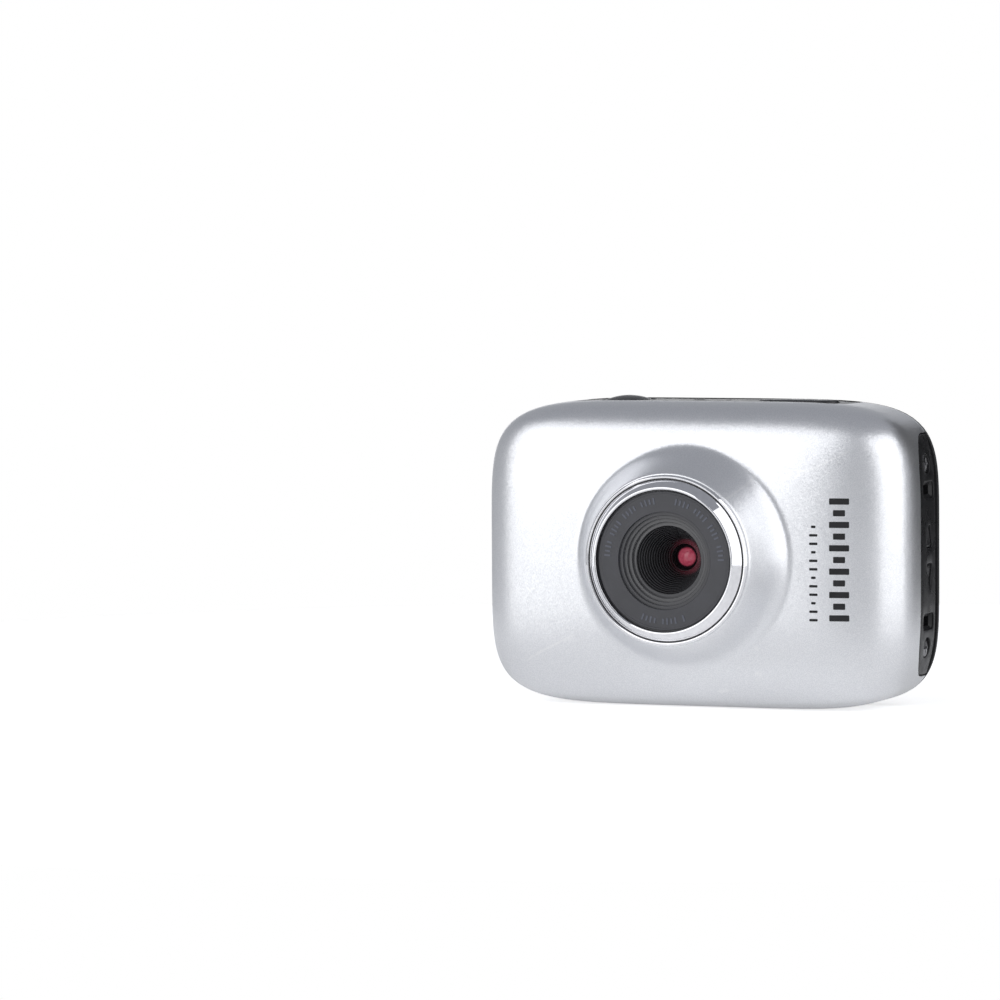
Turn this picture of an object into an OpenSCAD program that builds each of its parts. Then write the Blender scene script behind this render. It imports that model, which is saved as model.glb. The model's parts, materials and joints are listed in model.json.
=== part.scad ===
// Compact action camera: a rounded two-shell case with a raised lens, a screen behind,
// black inset panels on the top and both sides, and push buttons that travel.
// +Z is up, the lens looks along -Y, and the origin is under the middle of the whole camera.

/* [Body] */
// Width of the case
body_w = 64.7; // [64.2:0.1:65.2]
// Height of the case before its underside is flattened
body_h = 44.1; // [43.6:0.1:44.6]
// Depth from the middle of the front face to the back
body_d = 20.7; // [20.5:0.1:21.5]
// Squareness of the outline seen from the front
outline_n = 5.5; // [5:0.25:6]
// Squareness of the rounding between face and side
round_n = 4; // [3.5:0.5:4.5]
// Wall thickness of the shells
wall = 1.6; // [1.5:0.05:1.7]

/* [Lens] */
// How far the trim ring stands in front of the face
lens_rise = 8.2; // [8:0.1:8.5]
// Outer radius of the chrome trim ring
trim_r = 12.15; // [12:0.05:12.3]
// Radius where the lens boss meets the face
boss_foot_r = 16.6; // [16.2:0.1:17]

/* [Buttons] */
// Radius of the shutter button
shutter_r = 3.9; // [3.4:0.1:4]
// Travel of the top and back buttons
press = 0.4; // [0.2:0.05:0.4]
// Travel of the two arrow keys
key_press = 0.3; // [0.2:0.05:0.3]

/* [Screen] */
// Width of the screen window
window_w = 42; // [40:0.5:42]
// Height of the screen window
window_h = 32; // [30:0.5:32]

/* [Hidden] */
$fn = 64;

half_w = body_w / 2;
half_h = body_h / 2;
foot_cut = 0.1;                       // taken off the underside, which leaves a flat to stand on
mid_z = half_h - foot_cut;
front_y = -(body_d + lens_rise) / 2;  // front of the trim ring
face_y = front_y + lens_rise;         // middle of the front face
back_y = -front_y;
wide_y = face_y + 13.2;               // where the front shell reaches its full outline
seam_y = back_y - 2.5;                // joint between the front and back shells
gap = 0.15;                           // gap round each inset panel
sunk = 0.1;                           // how far a panel lies below the case's surface
slack = 0.1;                          // clearance round a button or a lens
play = 0.05;                          // clearance of a thread or a screw
past = 1;                             // how far a cutting shape runs past what it cuts

// Insets for the panels: half length and where they start; their front corners are round
top_half = 21;
top_y = seam_y - 9.4;
side_half = 17.4;
side_y = seam_y - 8;
top_inset_r = 3;
side_inset_r = 6;

// Lens parts, from the boss at the front to the board behind the sensor
boss_y = front_y + 1.8;
boss_rim_r = trim_r + 0.15;
hole_r = 10.4;
bezel_r = 10.05;
bezel_y = front_y + 0.6;
bezel_back_y = bezel_y + 9.8;
front_lens_r = 1.8;
rear_lens_r = 2.4;
barrel_r = 3.5;
barrel_y = bezel_back_y + slack;
barrel_l = 7.2;
lens_seat = 1.35;                     // depth of the front lens in the barrel
filter_y = barrel_y + barrel_l + 0.2;
sensor_y = filter_y + 0.9;
sensor_board_y = sensor_y + 1;
board_t = 0.8;
connector_y = sensor_board_y + board_t;
main_y = connector_y + 1.2;           // front face of the main board
main_t = 1;
chip_y = main_y - 1.2;
holder_screw_x = 5.2;                 // screws of the lens holder, on a diagonal
board_hole_r = 0.65;
battery_x = -18.5;
battery_w = 17;
battery_h = 28;
battery_t = 5.4;
battery_gap = 2.8;                    // from the battery to the main board
lead_r = 0.45;
lead_z = mid_z + 14;

// Top controls
button_y = seam_y - 4.7;
shutter_x = -13;
shutter_dome = 0.5;
power_x = 13;
power_l = 12;
power_w = 4.2;
light_x = -2.2;
light_r = 0.8;
mic_x = 2.2;
top_in = mid_z + half_h - wall;       // underside of the top panel at its middle
switch_z = 38.3;                      // underside of the top switch board
switch_body = 0.9;
plunger = 0.15;
flange_t = 0.7;                       // flange that keeps a button in its hole
stem_r = 1.2;                         // stem under a top button, which ends just above its switch
stem_z = switch_z + board_t + switch_body + plunger + press + play;

// Side controls, at the same heights on both sides
side_in = half_w - wall;              // inner face of a side panel at mid height
key_y = seam_y - 3.8;
key_z = [mid_z + 3.15, mid_z - 3.15];
key_w = 1.25;
key_l = 3.9;
slot_y = seam_y - 4.1;
slot_z = [mid_z + 9.4, mid_z - 9.4];
slot_w = 4.8;
slot_h = 2.4;
screw_y = seam_y - 4.1;
screw_z = [mid_z + 13.1, mid_z - 13.1];
screw_head_r = 1.35;
screw_r = 0.7;
screw_seat_x = half_w - 1.15;
side_board_x = half_w - 4.45;         // outer face of the board behind the arrow keys

// Port door in the left panel
door_half = 10;
door_y0 = seam_y - 7.2;
door_in = side_in + 0.3;              // inner face of the door
hinge_x = -(half_w - 0.85);
hinge_y = seam_y - 2;
barrel_hinge_r = 0.65;
pin_r = 0.3;
card_l = 15;
card_w = 11;
card_x = -(half_w - 2.15);             // outer end of the memory card
card_z = mid_z - 3.7;
usb_x = half_w - 1.55;
usb_z = mid_z + 6.2;

// Screen and back buttons, as placed in the back shell
screen_x = 4.5;
screen_y = back_y - 4.1;
screen_t = 2.2;
back_in = back_y - wall;
back_button_x = -23.6;
back_button_r = 2.7;
back_button_z = [mid_z + 10, mid_z, mid_z - 10];

// The frame that carries the main board, and the speaker beside the lens
frame_y = seam_y - 3;
frame_t = 1.2;
board_screw_x = 19.5;
board_screw_z = [mid_z + 14.2, mid_z - 15];
speaker_x = 18.5;
speaker_z = 13;

black = [0.05, 0.05, 0.055];
silver = [0.78, 0.79, 0.81];
steel = [0.6, 0.6, 0.62];
green = [0.07, 0.25, 0.14];
glass = [0.35, 0.4, 0.45, 0.6];

// ---- The case's shape ----

function mix(a, b, t) = a + (b - a) * t;
function bow(f) = pow(max(0, 1 - pow(abs(f), outline_n)), 1 / outline_n);
corner = pow(2, -1 / outline_n);

// Depth of the front surface at a share of the outline, for a rounding d deep, and the reverse
function depth_at(share, d) = wide_y - d * pow(max(0, 1 - pow(min(share, 1), round_n)), 1 / round_n);
function share_at(y, d) = y >= wide_y ? 1 : pow(1 - pow((wide_y - y) / d, round_n), 1 / round_n);
function share_of(p, a, b) = pow(pow(abs(p[0]) / a, outline_n) + pow(abs(p[1]) / b, outline_n), 1 / outline_n);

// Where an edge of the front shell ends, at a place s along it, for an inset of half length h and corner radius r from y0
function edge_end(s, h, y0, r) =
    abs(s) > h + 0.001 ? seam_y :
    abs(s) > h - r ? y0 + r - sqrt(max(0, pow(r, 2) - pow(abs(s) - h + r, 2))) :
    y0;

// Stations along half an edge from its corner to its middle, close together at the inset's round end
function quarter(half, h, r) = concat(
    [for (i = [0 : 4]) mix(corner * half, h + 0.06, i / 4)],
    [for (w = [90 : -11.25 : 0]) h - r + r * sin(w)],
    [for (i = [1 : 5]) (h - r) * (1 - i / 6)]
);
function whole(q) = concat([for (s = q) -s], [0], [for (i = [len(q) - 1 : -1 : 1]) q[i]]);

// The outline pulled in by t, clockwise from the top left: each entry is [x, z, where the shell ends]
function rim(t) = let (
    a = half_w - t,
    b = half_h - t,
    top = whole(quarter(a, top_half, top_inset_r)),
    side = whole(quarter(b, side_half, side_inset_r))
) concat(
    [for (s = top) [s, b * bow(s / a), edge_end(s, top_half, top_y, top_inset_r)]],
    [for (s = side) [a * bow(s / b), -s, edge_end(s, side_half, side_y, side_inset_r)]],
    [for (i = [0 : 23]) let (s = a * mix(corner, -corner, i / 24)) [s, -b * bow(s / a), seam_y]],
    [for (s = side) [-a * bow(s / b), s, edge_end(s, side_half, side_y, side_inset_r)]]
);

// A point of the case at depth y, with its underside flattened
function placed(p, y) = [p[0], y, mid_z + max(p[1], -mid_z)];
function on_circle(p, r) = let (k = r / norm([p[0], p[1]])) [p[0] * k, p[1] * k];
function scaled(p, k) = [p[0] * k, p[1] * k];

// Share of the boss's height at radius r: a hollow foot, then a straight cone up to its rim
function boss_share(r, foot, rim_r) =
    let (t = min(1, max(0, (foot - r) / (foot - rim_r))), k = 0.45)
    t < k ? pow(t, 2) / (2 * k * (1 - k / 2)) : (t - k / 2) / (1 - k / 2);

// Rings of one skin of the front shell, from the lens hole to the shell's rear edge
function skin(t, foot, rim_r, flat_y, radii) = let (a = half_w - t, b = half_h - t, d = wide_y - face_y - t, e = rim(t)) concat(
    [for (r = radii) [for (q = e) let (p = on_circle(q, r))
        placed(p, mix(depth_at(share_of(p, a, b), d), flat_y, boss_share(r, foot, rim_r)))]],
    [for (m = [0, 0.35, 0.7, 1]) [for (q = e) let (p = mix(on_circle(q, foot), scaled(q, 0.91), m))
        placed(p, depth_at(share_of(p, a, b), d))]],
    [for (k = [0.95, 0.975, 0.988]) [for (q = e) placed(scaled(q, k), depth_at(k, d))]],
    [for (m = [0.35, 0.7, 1]) [for (q = e) let (y = mix(depth_at(0.988, d), q[2], m))
        placed(scaled(q, share_at(y, d)), y)]]
);
function backwards(v) = [for (i = [len(v) - 1 : -1 : 0]) v[i]];

// The quads between rings i and k of n points, each split in two
function band(i, k, n) = [for (j = [0 : n - 1])
    let (a = i * n + j, b = i * n + (j + 1) % n, c = k * n + j, d = k * n + (j + 1) % n)
    each [[a, d, b], [a, c, d]]
];

// A closed solid through rings of points, where the last ring joins the first again
module ring_solid(rings) {
    n = len(rings[0]);
    k = len(rings);
    polyhedron(points = [for (r = rings) each r], faces = [for (i = [0 : k - 1]) each band(i, (i + 1) % k, n)]);
}

// A closed solid through rings of points, with a flat face at each end
module capped_solid(rings) {
    n = len(rings[0]);
    k = len(rings);
    polyhedron(
        points = [for (r = rings) each r],
        faces = concat(
            [[for (j = [0 : n - 1]) j]],
            [[for (j = [n - 1 : -1 : 0]) (k - 1) * n + j]],
            [for (i = [0 : k - 2]) each band(i, i + 1, n)]
        )
    );
}

// A slab of the case's outline, pulled in by t, from y0 to y1
module slab(t, y0, y1) {
    translate([0, y1, 0]) rotate([90, 0, 0]) linear_extrude(y1 - y0)
        polygon([for (q = rim(t)) let (p = placed(q, 0)) [p[0], p[2]]]);
}

// ---- Simple shapes between coordinates ----

module rod_x(r, x0, x1, y, z) { translate([x0, y, z]) rotate([0, 90, 0]) cylinder(h = x1 - x0, r = r); }
module rod_y(r, y0, y1, x, z) { translate([x, y0, z]) rotate([-90, 0, 0]) cylinder(h = y1 - y0, r = r); }
module rod_z(r, z0, z1, x, y) { translate([x, y, z0]) cylinder(h = z1 - z0, r = r); }
module block(x0, x1, y0, y1, z0, z1) { translate([x0, y0, z0]) cube([x1 - x0, y1 - y0, z1 - z0]); }
module lens_turned() { translate([0, 0, mid_z]) rotate([-90, 0, 0]) rotate_extrude() children(); }
module lens_rod(r, y0, y1) { rod_y(r, y0, y1, 0, mid_z); }
module lens_block(half, y0, y1) { block(-half, half, y0, y1, mid_z - half, mid_z + half); }

// Stands a shape drawn in Y and Z across X, from x0 to x1
module across(x0, x1) { translate([x0, 0, 0]) rotate([90, 0, 90]) linear_extrude(x1 - x0) children(); }
module upwards(z0, z1) { translate([0, 0, z0]) linear_extrude(z1 - z0) children(); }
module mirrored() { mirror([1, 0, 0]) children(); }

// A rectangle with round corners, centred
module round_rect(w, h, r) {
    square([w - 2 * r, h], center = true);
    square([w, h - 2 * r], center = true);
    for (x = [-1, 1], y = [-1, 1]) translate([x * (w / 2 - r), y * (h / 2 - r)]) circle(r);
}

// An inset seen square on: s runs along the edge, and its two front corners are round
module inset_shape(half, y0, r) {
    y1 = seam_y - gap;
    translate([-half, y0 + r]) square([2 * half, y1 - y0 - r]);
    translate([-half + r, y0]) square([2 * (half - r), r]);
    for (s = [-1, 1]) translate([s * (half - r), y0 + r]) circle(r);
}

// An arrow key's outline, pointing along +Y, grown by g
module arrow(g) {
    r = 0.35;
    hull() {
        for (s = [-1, 1]) translate([s * (key_w - r), -key_l / 2 + r]) circle(r + g, $fn = 24);
        translate([0, key_l / 2 - r]) circle(r + g, $fn = 24);
    }
}

// A cross recess for a screwdriver, cut into a head that faces +Z
module cross_cut(w, l, depth) {
    for (turn = [0, 90]) rotate([0, 0, turn]) translate([-l / 2, -w / 2, -depth]) cube([l, w, depth + past]);
}

// A cross-head screw that points down from z = 0
module screw(head_r, head_t, r, l) {
    difference() {
        union() {
            cylinder(h = head_t, r = head_r);
            translate([0, 0, -l]) cylinder(h = l, r = r);
        }
        translate([0, 0, head_t]) cross_cut(head_r * 0.28, head_r * 1.3, head_t * 0.6);
    }
}

// A small push switch that faces +Z: a square body with a round plunger
module push_switch(half, body, plunger_r) {
    translate([-half, -half, 0]) cube([2 * half, 2 * half, body]);
    cylinder(h = body + plunger, r = plunger_r);
}

// ---- Case ----

module front_shell() {
    outer = skin(0, boss_foot_r, boss_rim_r, boss_y, [hole_r, boss_rim_r, 12.8, 13.6, 14.4, 15.2, 15.9]);
    inner = skin(wall, boss_foot_r - 1.4, hole_r + 0.5, boss_y + 1.5, [hole_r, hole_r + 0.5, 11.8, 12.8, 13.8]);
    color(silver) ring_solid(concat(outer, backwards(inner)));
}

// The back shell's outside: the full outline, then a round edge into the flat back
module back_form() {
    r = 2.3;
    e = rim(0);
    capped_solid(concat(
        [[for (q = e) placed(q, seam_y)]],
        [for (w = [0 : 15 : 90]) let (in = r * (1 - cos(w)), kx = 1 - in / half_w, kz = 1 - in / half_h)
            [for (q = e) placed([q[0] * kx, q[1] * kz], back_y - r * (1 - sin(w)))]]
    ));
}

module back_shell() {
    clip_z = mid_z - half_h + wall + 0.2;
    color(black) {
        difference() {
            back_form();
            slab(wall, seam_y - past, back_in);
            translate([screen_x, back_y + past, mid_z]) rotate([90, 0, 0]) {
                linear_extrude(past + 1.1) round_rect(window_w, window_h, 1.5);
                linear_extrude(past + wall + past) square([window_w - 4.4, window_h - 3.4], center = true);
            }
            for (z = back_button_z)
                rod_y(back_button_r + slack, back_in - past, back_y + past, back_button_x, z);
        }
        for (x = [-10, 10]) block(x - 4, x + 4, seam_y - 1.2, back_in + slack, clip_z, clip_z + 0.8);
    }
}

module top_panel() {
    color(black)
    difference() {
        intersection() {
            slab(sunk, top_y, seam_y);
            upwards(mid_z, mid_z + half_h) inset_shape(top_half - gap, top_y + gap, top_inset_r);
        }
        slab(wall, 0, seam_y + past);
        rod_z(shutter_r + slack, mid_z, body_h + past, shutter_x, button_y);
        translate([power_x, button_y, 0]) upwards(mid_z, body_h + past)
            round_rect(power_l + 2 * slack, power_w + 2 * slack, power_w / 2 + slack - 0.01);
        rod_z(light_r + play, mid_z, body_h + past, light_x, button_y);
        rod_z(light_r / 2, mid_z, body_h + past, mic_x, button_y);
    }
}

// One side's inset plate on the +X side, before its openings, with a rib behind it from z0 to z1
module side_plate(z0, z1) {
    rib = 0.85;
    difference() {
        intersection() {
            slab(sunk, side_y, seam_y);
            across(0, half_w) translate([0, mid_z]) mirror([1, -1]) inset_shape(side_half - gap, side_y + gap, side_inset_r);
        }
        slab(wall, 0, seam_y + past);
    }
    block(side_in - rib, side_in + play, side_y + 0.3, seam_y - 1.2, z0, z1);
}

// The holes for a side panel's two screws: a pocket for the head and a bore for the shank
module side_screw_holes() {
    for (z = screw_z) {
        rod_x(screw_head_r + slack, screw_seat_x, half_w + past, screw_y, z);
        rod_x(screw_r + play, side_in - past, half_w, screw_y, z);
    }
}

module right_panel() {
    color(black)
    difference() {
        union() {
            side_plate(slot_z[0] - 2, slot_z[0] + 2);
            side_plate(slot_z[1] - 2, slot_z[1] + 2);
        }
        side_screw_holes();
        for (z = slot_z) block(half_w - 1.8, half_w + past, slot_y - slot_w / 2, slot_y + slot_w / 2,
                               z - slot_h / 2, z + slot_h / 2);
        across(side_in - past, half_w + past) translate([key_y, key_z[0]]) arrow(slack);
        across(side_in - past, half_w + past) translate([key_y, key_z[1]]) mirror([0, 1]) arrow(slack);
    }
}

module left_panel() {
    z0 = mid_z - door_half - slack;
    z1 = mid_z + door_half + slack;
    color(black)
    mirrored()
    difference() {
        side_plate(z0 - 0.5, z1 + 0.5);
        side_screw_holes();
        block(door_in - play, half_w + past, door_y0 - slack, hinge_y, z0, z1);
        rod_z(barrel_hinge_r + 0.2, z0, z1, -hinge_x, hinge_y);
        rod_z(pin_r, z0 - 0.8, z1 + 0.8, -hinge_x, hinge_y);
        block(side_in - past, half_w, main_y - 2.4, main_y - 0.2, usb_z - 3.7, usb_z + 3.7);
        block(side_in - past, half_w, main_y - 1.8, main_y, card_z - card_w / 2 - 0.3, card_z + card_w / 2 + 0.3);
    }
}

module mid_frame() {
    x0 = -(half_w - 3.75);
    x1 = half_w - 5.45;
    opening_x = 17;
    post_x = half_w - 6.25;
    post_end = half_w - 3.35;
    post_half = 2.2;
    pilot = screw_r - play;
    color(black)
    difference() {
        union() {
            block(x0, x1, frame_y, frame_y + frame_t, mid_z - 16.4, mid_z + 16);
            for (s = [-1, 1], z = board_screw_z) rod_y(1.8, main_y + main_t, frame_y + frame_t, s * board_screw_x, z);
            for (s = [-1, 1], z = screw_z) block(min(s * post_x, s * post_end), max(s * post_x, s * post_end),
                screw_y - post_half, frame_y + frame_t, z - post_half, z + post_half);
        }
        block(-opening_x, opening_x, frame_y - past, frame_y + frame_t + past, mid_z - 13, mid_z + 12.5);
        for (z = back_button_z) block(back_button_x - 2.7, back_button_x + 2.7,
            frame_y - past, frame_y + frame_t + past, z - 2.7, z + 2.7);
        for (s = [-1, 1], z = board_screw_z) rod_y(board_hole_r, 0, frame_y + frame_t + past, s * board_screw_x, z);
        for (z = screw_z) {
            rod_x(pilot + 2 * play, post_x - past, half_w, screw_y, z);
            rod_x(pilot + 2 * play, -half_w, -post_x + past, screw_y, z);
        }
    }
}

// ---- Lens ----

module lens_trim_ring() {
    inner_r = bezel_r + play;
    sleeve_r = hole_r - 0.1;
    color([0.9, 0.9, 0.92])
    lens_turned() polygon([
        [trim_r, boss_y],
        [trim_r - 0.05, boss_y - 0.35],
        [trim_r - 0.3, boss_y - 0.55],
        [trim_r - 0.5, boss_y - 0.55],
        [trim_r - 0.6, boss_y - 0.4],
        [trim_r - 0.7, boss_y - 0.5],
        [sleeve_r + 0.15, front_y + 0.08],
        [sleeve_r, front_y],
        [inner_r, front_y + 0.1],
        [inner_r, boss_y + 1.8],
        [sleeve_r, boss_y + 1.8],
        [sleeve_r, boss_y]
    ]);
}

module lens_bezel() {
    step_r = 6.9;
    step = 0.5;
    cone_r = 5;
    cone_y = bezel_y + 2;
    steps = 4;
    color(black)
    lens_turned() polygon(concat(
        [[bezel_r, bezel_y]],
        [for (i = [0 : steps - 1], edge = [0, 1]) [step_r - i * step, bezel_y + (i + edge) * step]],
        [
            [cone_r, cone_y],
            [front_lens_r + slack, bezel_back_y - 0.7],
            [front_lens_r + slack, bezel_back_y],
            [front_lens_r + 1.4, bezel_back_y],
            [cone_r + 1.4, cone_y + 0.5],
            [bezel_r - 1, cone_y + 0.5],
            [bezel_r - 1, cone_y + 1.3],
            [bezel_r, cone_y + 1.3]
        ]
    ));
}

module lens_barrel() {
    color(black)
    difference() {
        lens_rod(barrel_r, barrel_y, barrel_y + barrel_l);
        lens_rod(front_lens_r + play, barrel_y - past, barrel_y + lens_seat);
        lens_rod(1.2, barrel_y, barrel_y + barrel_l);
        lens_rod(rear_lens_r + play, barrel_y + barrel_l - 2, barrel_y + barrel_l + past);
    }
}

module front_lens() {
    curve_r = 2.6;
    color([0.6, 0.1, 0.15])
    intersection() {
        lens_rod(front_lens_r, barrel_y - past, barrel_y + lens_seat);
        translate([0, barrel_y - 0.65 + curve_r, mid_z]) sphere(curve_r);
    }
}

module rear_lens() {
    curve_r = 3.6;
    color(glass)
    intersection() {
        lens_rod(rear_lens_r, barrel_y + barrel_l - 2, barrel_y + barrel_l - 0.2);
        translate([0, barrel_y + barrel_l - 0.3 - curve_r, mid_z]) sphere(curve_r);
    }
}

module lens_holder() {
    color(black)
    difference() {
        union() {
            lens_block(6, barrel_y + barrel_l - 1.1, sensor_board_y);
            lens_rod(barrel_r + 1.1, barrel_y + 1.8, barrel_y + barrel_l - 1.1);
        }
        lens_rod(barrel_r + play, barrel_y, filter_y - 0.1);
        lens_block(3.3, filter_y - 0.1, filter_y + 0.6);
        lens_block(4.2, filter_y + 0.6, sensor_board_y + past);
        for (s = [-1, 1]) rod_y(0.52, sensor_board_y - 2, sensor_board_y + past,
            s * holder_screw_x, mid_z + s * holder_screw_x);
    }
}

module infrared_filter() { color([0.7, 0.85, 0.95, 0.7]) lens_block(3.2, filter_y, filter_y + 0.4); }

module image_sensor() { color([0.15, 0.2, 0.3]) lens_block(4, sensor_y, sensor_board_y); }

module sensor_board() {
    color(green)
    difference() {
        lens_block(7, sensor_board_y, connector_y);
        for (s = [-1, 1]) rod_y(0.55, sensor_board_y - past, connector_y + past,
            s * holder_screw_x, mid_z + s * holder_screw_x);
    }
}

module sensor_connector() { color([0.8, 0.75, 0.6]) block(-4, 4, connector_y, main_y, mid_z - 1.5, mid_z + 1.5); }

module holder_screws() {
    color(steel) for (s = [-1, 1])
        translate([s * holder_screw_x, connector_y, mid_z + s * holder_screw_x]) rotate([-90, 0, 0])
            screw(1, 0.5, 0.5, 2.3);
}

// ---- Electronics ----

module main_board() {
    color(green)
    difference() {
        block(-25, 25, main_y, main_y + main_t, 5, 38);
        for (s = [-1, 1], z = board_screw_z) rod_y(board_hole_r, main_y - past, main_y + 2 * past, s * board_screw_x, z);
    }
}

module board_screws() {
    color(steel) for (s = [-1, 1], z = board_screw_z)
        translate([s * board_screw_x, main_y, z]) rotate([90, 0, 0]) screw(1.1, 0.6, 0.6, 2.6);
}

module processor() { color([0.1, 0.1, 0.11]) block(9.5, 20, chip_y, main_y, 21, 31.5); }

module memory_chips() {
    color([0.1, 0.1, 0.11])
    for (z = [7.2, 14]) block(8, 16, chip_y + 0.2, main_y, z, z + 5.5);
}

module battery() {
    color([0.25, 0.35, 0.55])
    translate([battery_x, main_y - battery_gap, mid_z]) rotate([90, 0, 0])
        linear_extrude(battery_t) round_rect(battery_w, battery_h, 1.5);
}

module battery_leads() {
    y = main_y - battery_gap - 1;
    bend_z = lead_z + 1;
    color([0.7, 0.1, 0.1])
    for (x = [-13.2, -11.2]) {
        rod_z(lead_r, lead_z, bend_z, x, y);
        translate([x, y, bend_z]) sphere(lead_r);
        rod_y(lead_r, y, main_y - 1.5, x, bend_z);
    }
}

module battery_socket() {
    z = lead_z - 0.1;
    color([0.85, 0.85, 0.8]) block(-14.6, -9.8, main_y - 1.5, main_y, z, z + 2.2);
}

module speaker() {
    color(steel) rod_y(6, main_y - 7.6, main_y - 4.2, speaker_x, speaker_z);
}

module microphone() { color(steel) rod_z(1.6, top_in - 2, top_in - 0.15, mic_x, button_y); }

module status_light() { color([0.85, 0.9, 0.95, 0.8]) rod_z(light_r, top_in - 1, top_in + 1.4, light_x, button_y); }

// ---- Screen ----

module screen_module() {
    color([0.08, 0.08, 0.1]) block(screen_x - 23, screen_x + 23, screen_y, screen_y + screen_t, mid_z - 17, mid_z + 17);
}

module screen_gasket() {
    y0 = screen_y + screen_t;
    color([0.12, 0.12, 0.12])
    difference() {
        block(screen_x - 21, screen_x + 21, y0, back_in, mid_z - 16, mid_z + 16);
        block(screen_x - 19, screen_x + 19, y0 - past, back_in + past, mid_z - 14.5, mid_z + 14.5);
    }
}

module screen_window() {
    color([0.03, 0.03, 0.04]) translate([screen_x, back_y - 0.15, mid_z]) rotate([90, 0, 0])
        linear_extrude(0.9) round_rect(window_w - 2 * slack, window_h - 2 * slack, 1.4);
}

// ---- Ports ----

module usb_port() {
    color(steel)
    difference() {
        block(-usb_x, -usb_x + 6.2, main_y - 2.3, main_y - 0.3, usb_z - 3.5, usb_z + 3.5);
        block(-usb_x - past, -usb_x + 5.2, main_y - 2, main_y - 0.6, usb_z - 3.1, usb_z + 3.1);
    }
}

module card_socket() {
    y0 = main_y - 1.7;
    half = card_w / 2;
    color(steel)
    difference() {
        block(card_x + 0.4, card_x + 17, y0, main_y, card_z - half - 0.5, card_z + half + 0.5);
        block(card_x - past, card_x + 16.5, y0 + 0.3, main_y - 0.3, card_z - half - 0.1, card_z + half + 0.1);
    }
}

module memory_card() {
    y0 = main_y - 1.3;
    half = card_w / 2;
    color([0.12, 0.12, 0.13])
    difference() {
        block(card_x, card_x + card_l, y0, y0 + 0.8, card_z - half, card_z + half);
        block(card_x + 6, card_x + card_l + past, y0 - past, y0 + past, card_z + half - 1.3, card_z + half + past);
    }
}

module port_door() {
    z0 = mid_z - door_half;
    z1 = mid_z + door_half;
    leaf_y = hinge_y - 0.95;      // the leaf stops short of its hinge, so that it clears the panel as it opens
    color(black)
    difference() {
        union() {
            intersection() {
                slab(sunk, door_y0, leaf_y);
                block(-half_w, -door_in, door_y0, leaf_y, z0, z1);
            }
            block(hinge_x - 0.1, -door_in, leaf_y - 0.1, hinge_y, z0, z1);
            rod_z(barrel_hinge_r, z0, z1, hinge_x, hinge_y);
        }
        rod_z(pin_r + 0.04, z0 - past, z1 + past, hinge_x, hinge_y);
    }
}

module door_pin() {
    reach = door_half + slack + 0.8;
    color(steel) rod_z(pin_r, mid_z - reach, mid_z + reach, hinge_x, hinge_y);
}

// ---- Buttons ----

module shutter_button() {
    rise = shutter_dome + 0.4;
    dome_r = (pow(shutter_r, 2) + pow(rise, 2)) / (2 * rise);
    top = mid_z + half_h + shutter_dome;
    color(black) {
        intersection() {
            rod_z(shutter_r, top_in - 0.3, top, shutter_x, button_y);
            translate([shutter_x, button_y, top - dome_r]) sphere(dome_r);
        }
        rod_z(shutter_r + 0.6, top_in - 0.3 - flange_t, top_in - 0.3, shutter_x, button_y);
        rod_z(stem_r, stem_z, top_in - 0.3 - flange_t, shutter_x, button_y);
    }
}

module power_button() {
    flange_z = top_in - 0.4;
    color([0.16, 0.16, 0.17])
    translate([power_x, button_y, 0]) {
        upwards(flange_z, mid_z + half_h + 0.15) round_rect(power_l, power_w, power_w / 2 - 0.01);
        upwards(flange_z - flange_t, flange_z) round_rect(power_l + 0.8, power_w + 0.8, power_w / 2 + 0.39);
        rod_z(stem_r, stem_z, flange_z - flange_t, 0, 0);
    }
}

// An arrow key on the right side; its cap points up, and flip turns it down
module arrow_key(z, flip) {
    flange_x = side_in - 0.5;
    color(black)
    translate([0, key_y, z]) mirror([0, 0, flip]) {
        across(flange_x, half_w - 0.3) arrow(0);
        across(flange_x, flange_x + 0.4) arrow(0.4);
        rod_x(0.8, flange_x - 0.35, flange_x, 0, 0);
    }
}
module zoom_in_key() { arrow_key(key_z[0], 0); }
module zoom_out_key() { arrow_key(key_z[1], 1); }

module back_button(z) {
    flange_y = back_in - 0.8;
    color([0.16, 0.16, 0.17]) {
        rod_y(back_button_r, flange_y, back_y - 0.1, back_button_x, z);
        rod_y(back_button_r + 0.5, flange_y, flange_y + flange_t, back_button_x, z);
    }
}
module menu_button() { back_button(back_button_z[0]); }
module mode_button() { back_button(back_button_z[1]); }
module play_button() { back_button(back_button_z[2]); }

module top_switch_board() {
    color(green) block(-18, 19.5, button_y - 2.7, button_y + 2.7, switch_z, switch_z + board_t);
}

module top_switches() {
    color(steel) for (x = [shutter_x, power_x])
        translate([x, button_y, switch_z + board_t]) push_switch(1.6, switch_body, 0.7);
}

module side_switch_board() {
    color(green) block(side_board_x - board_t, side_board_x, key_y - 2.8, key_y + 2, mid_z - 6, mid_z + 6);
}

module side_switches() {
    body = side_in - 0.85 - key_press - play - plunger - side_board_x;
    color(steel) for (z = key_z)
        translate([side_board_x, key_y, z]) rotate([0, 90, 0]) push_switch(1.4, body, 0.6);
}

module back_switches() {
    body = back_in - 0.8 - press - play - plunger - main_y - main_t;
    color(steel) for (z = back_button_z)
        translate([back_button_x, main_y + main_t, z]) rotate([-90, 0, 0]) push_switch(2.3, body, 0.9);
}

// ---- Side screws ----

module side_screws() {
    color([0.2, 0.2, 0.21])
    for (z = screw_z) translate([screw_seat_x, screw_y, z]) rotate([0, 90, 0]) screw(screw_head_r, 0.6, screw_r, 4.4);
}
module right_panel_screws() { side_screws(); }
module left_panel_screws() { mirrored() side_screws(); }

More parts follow.
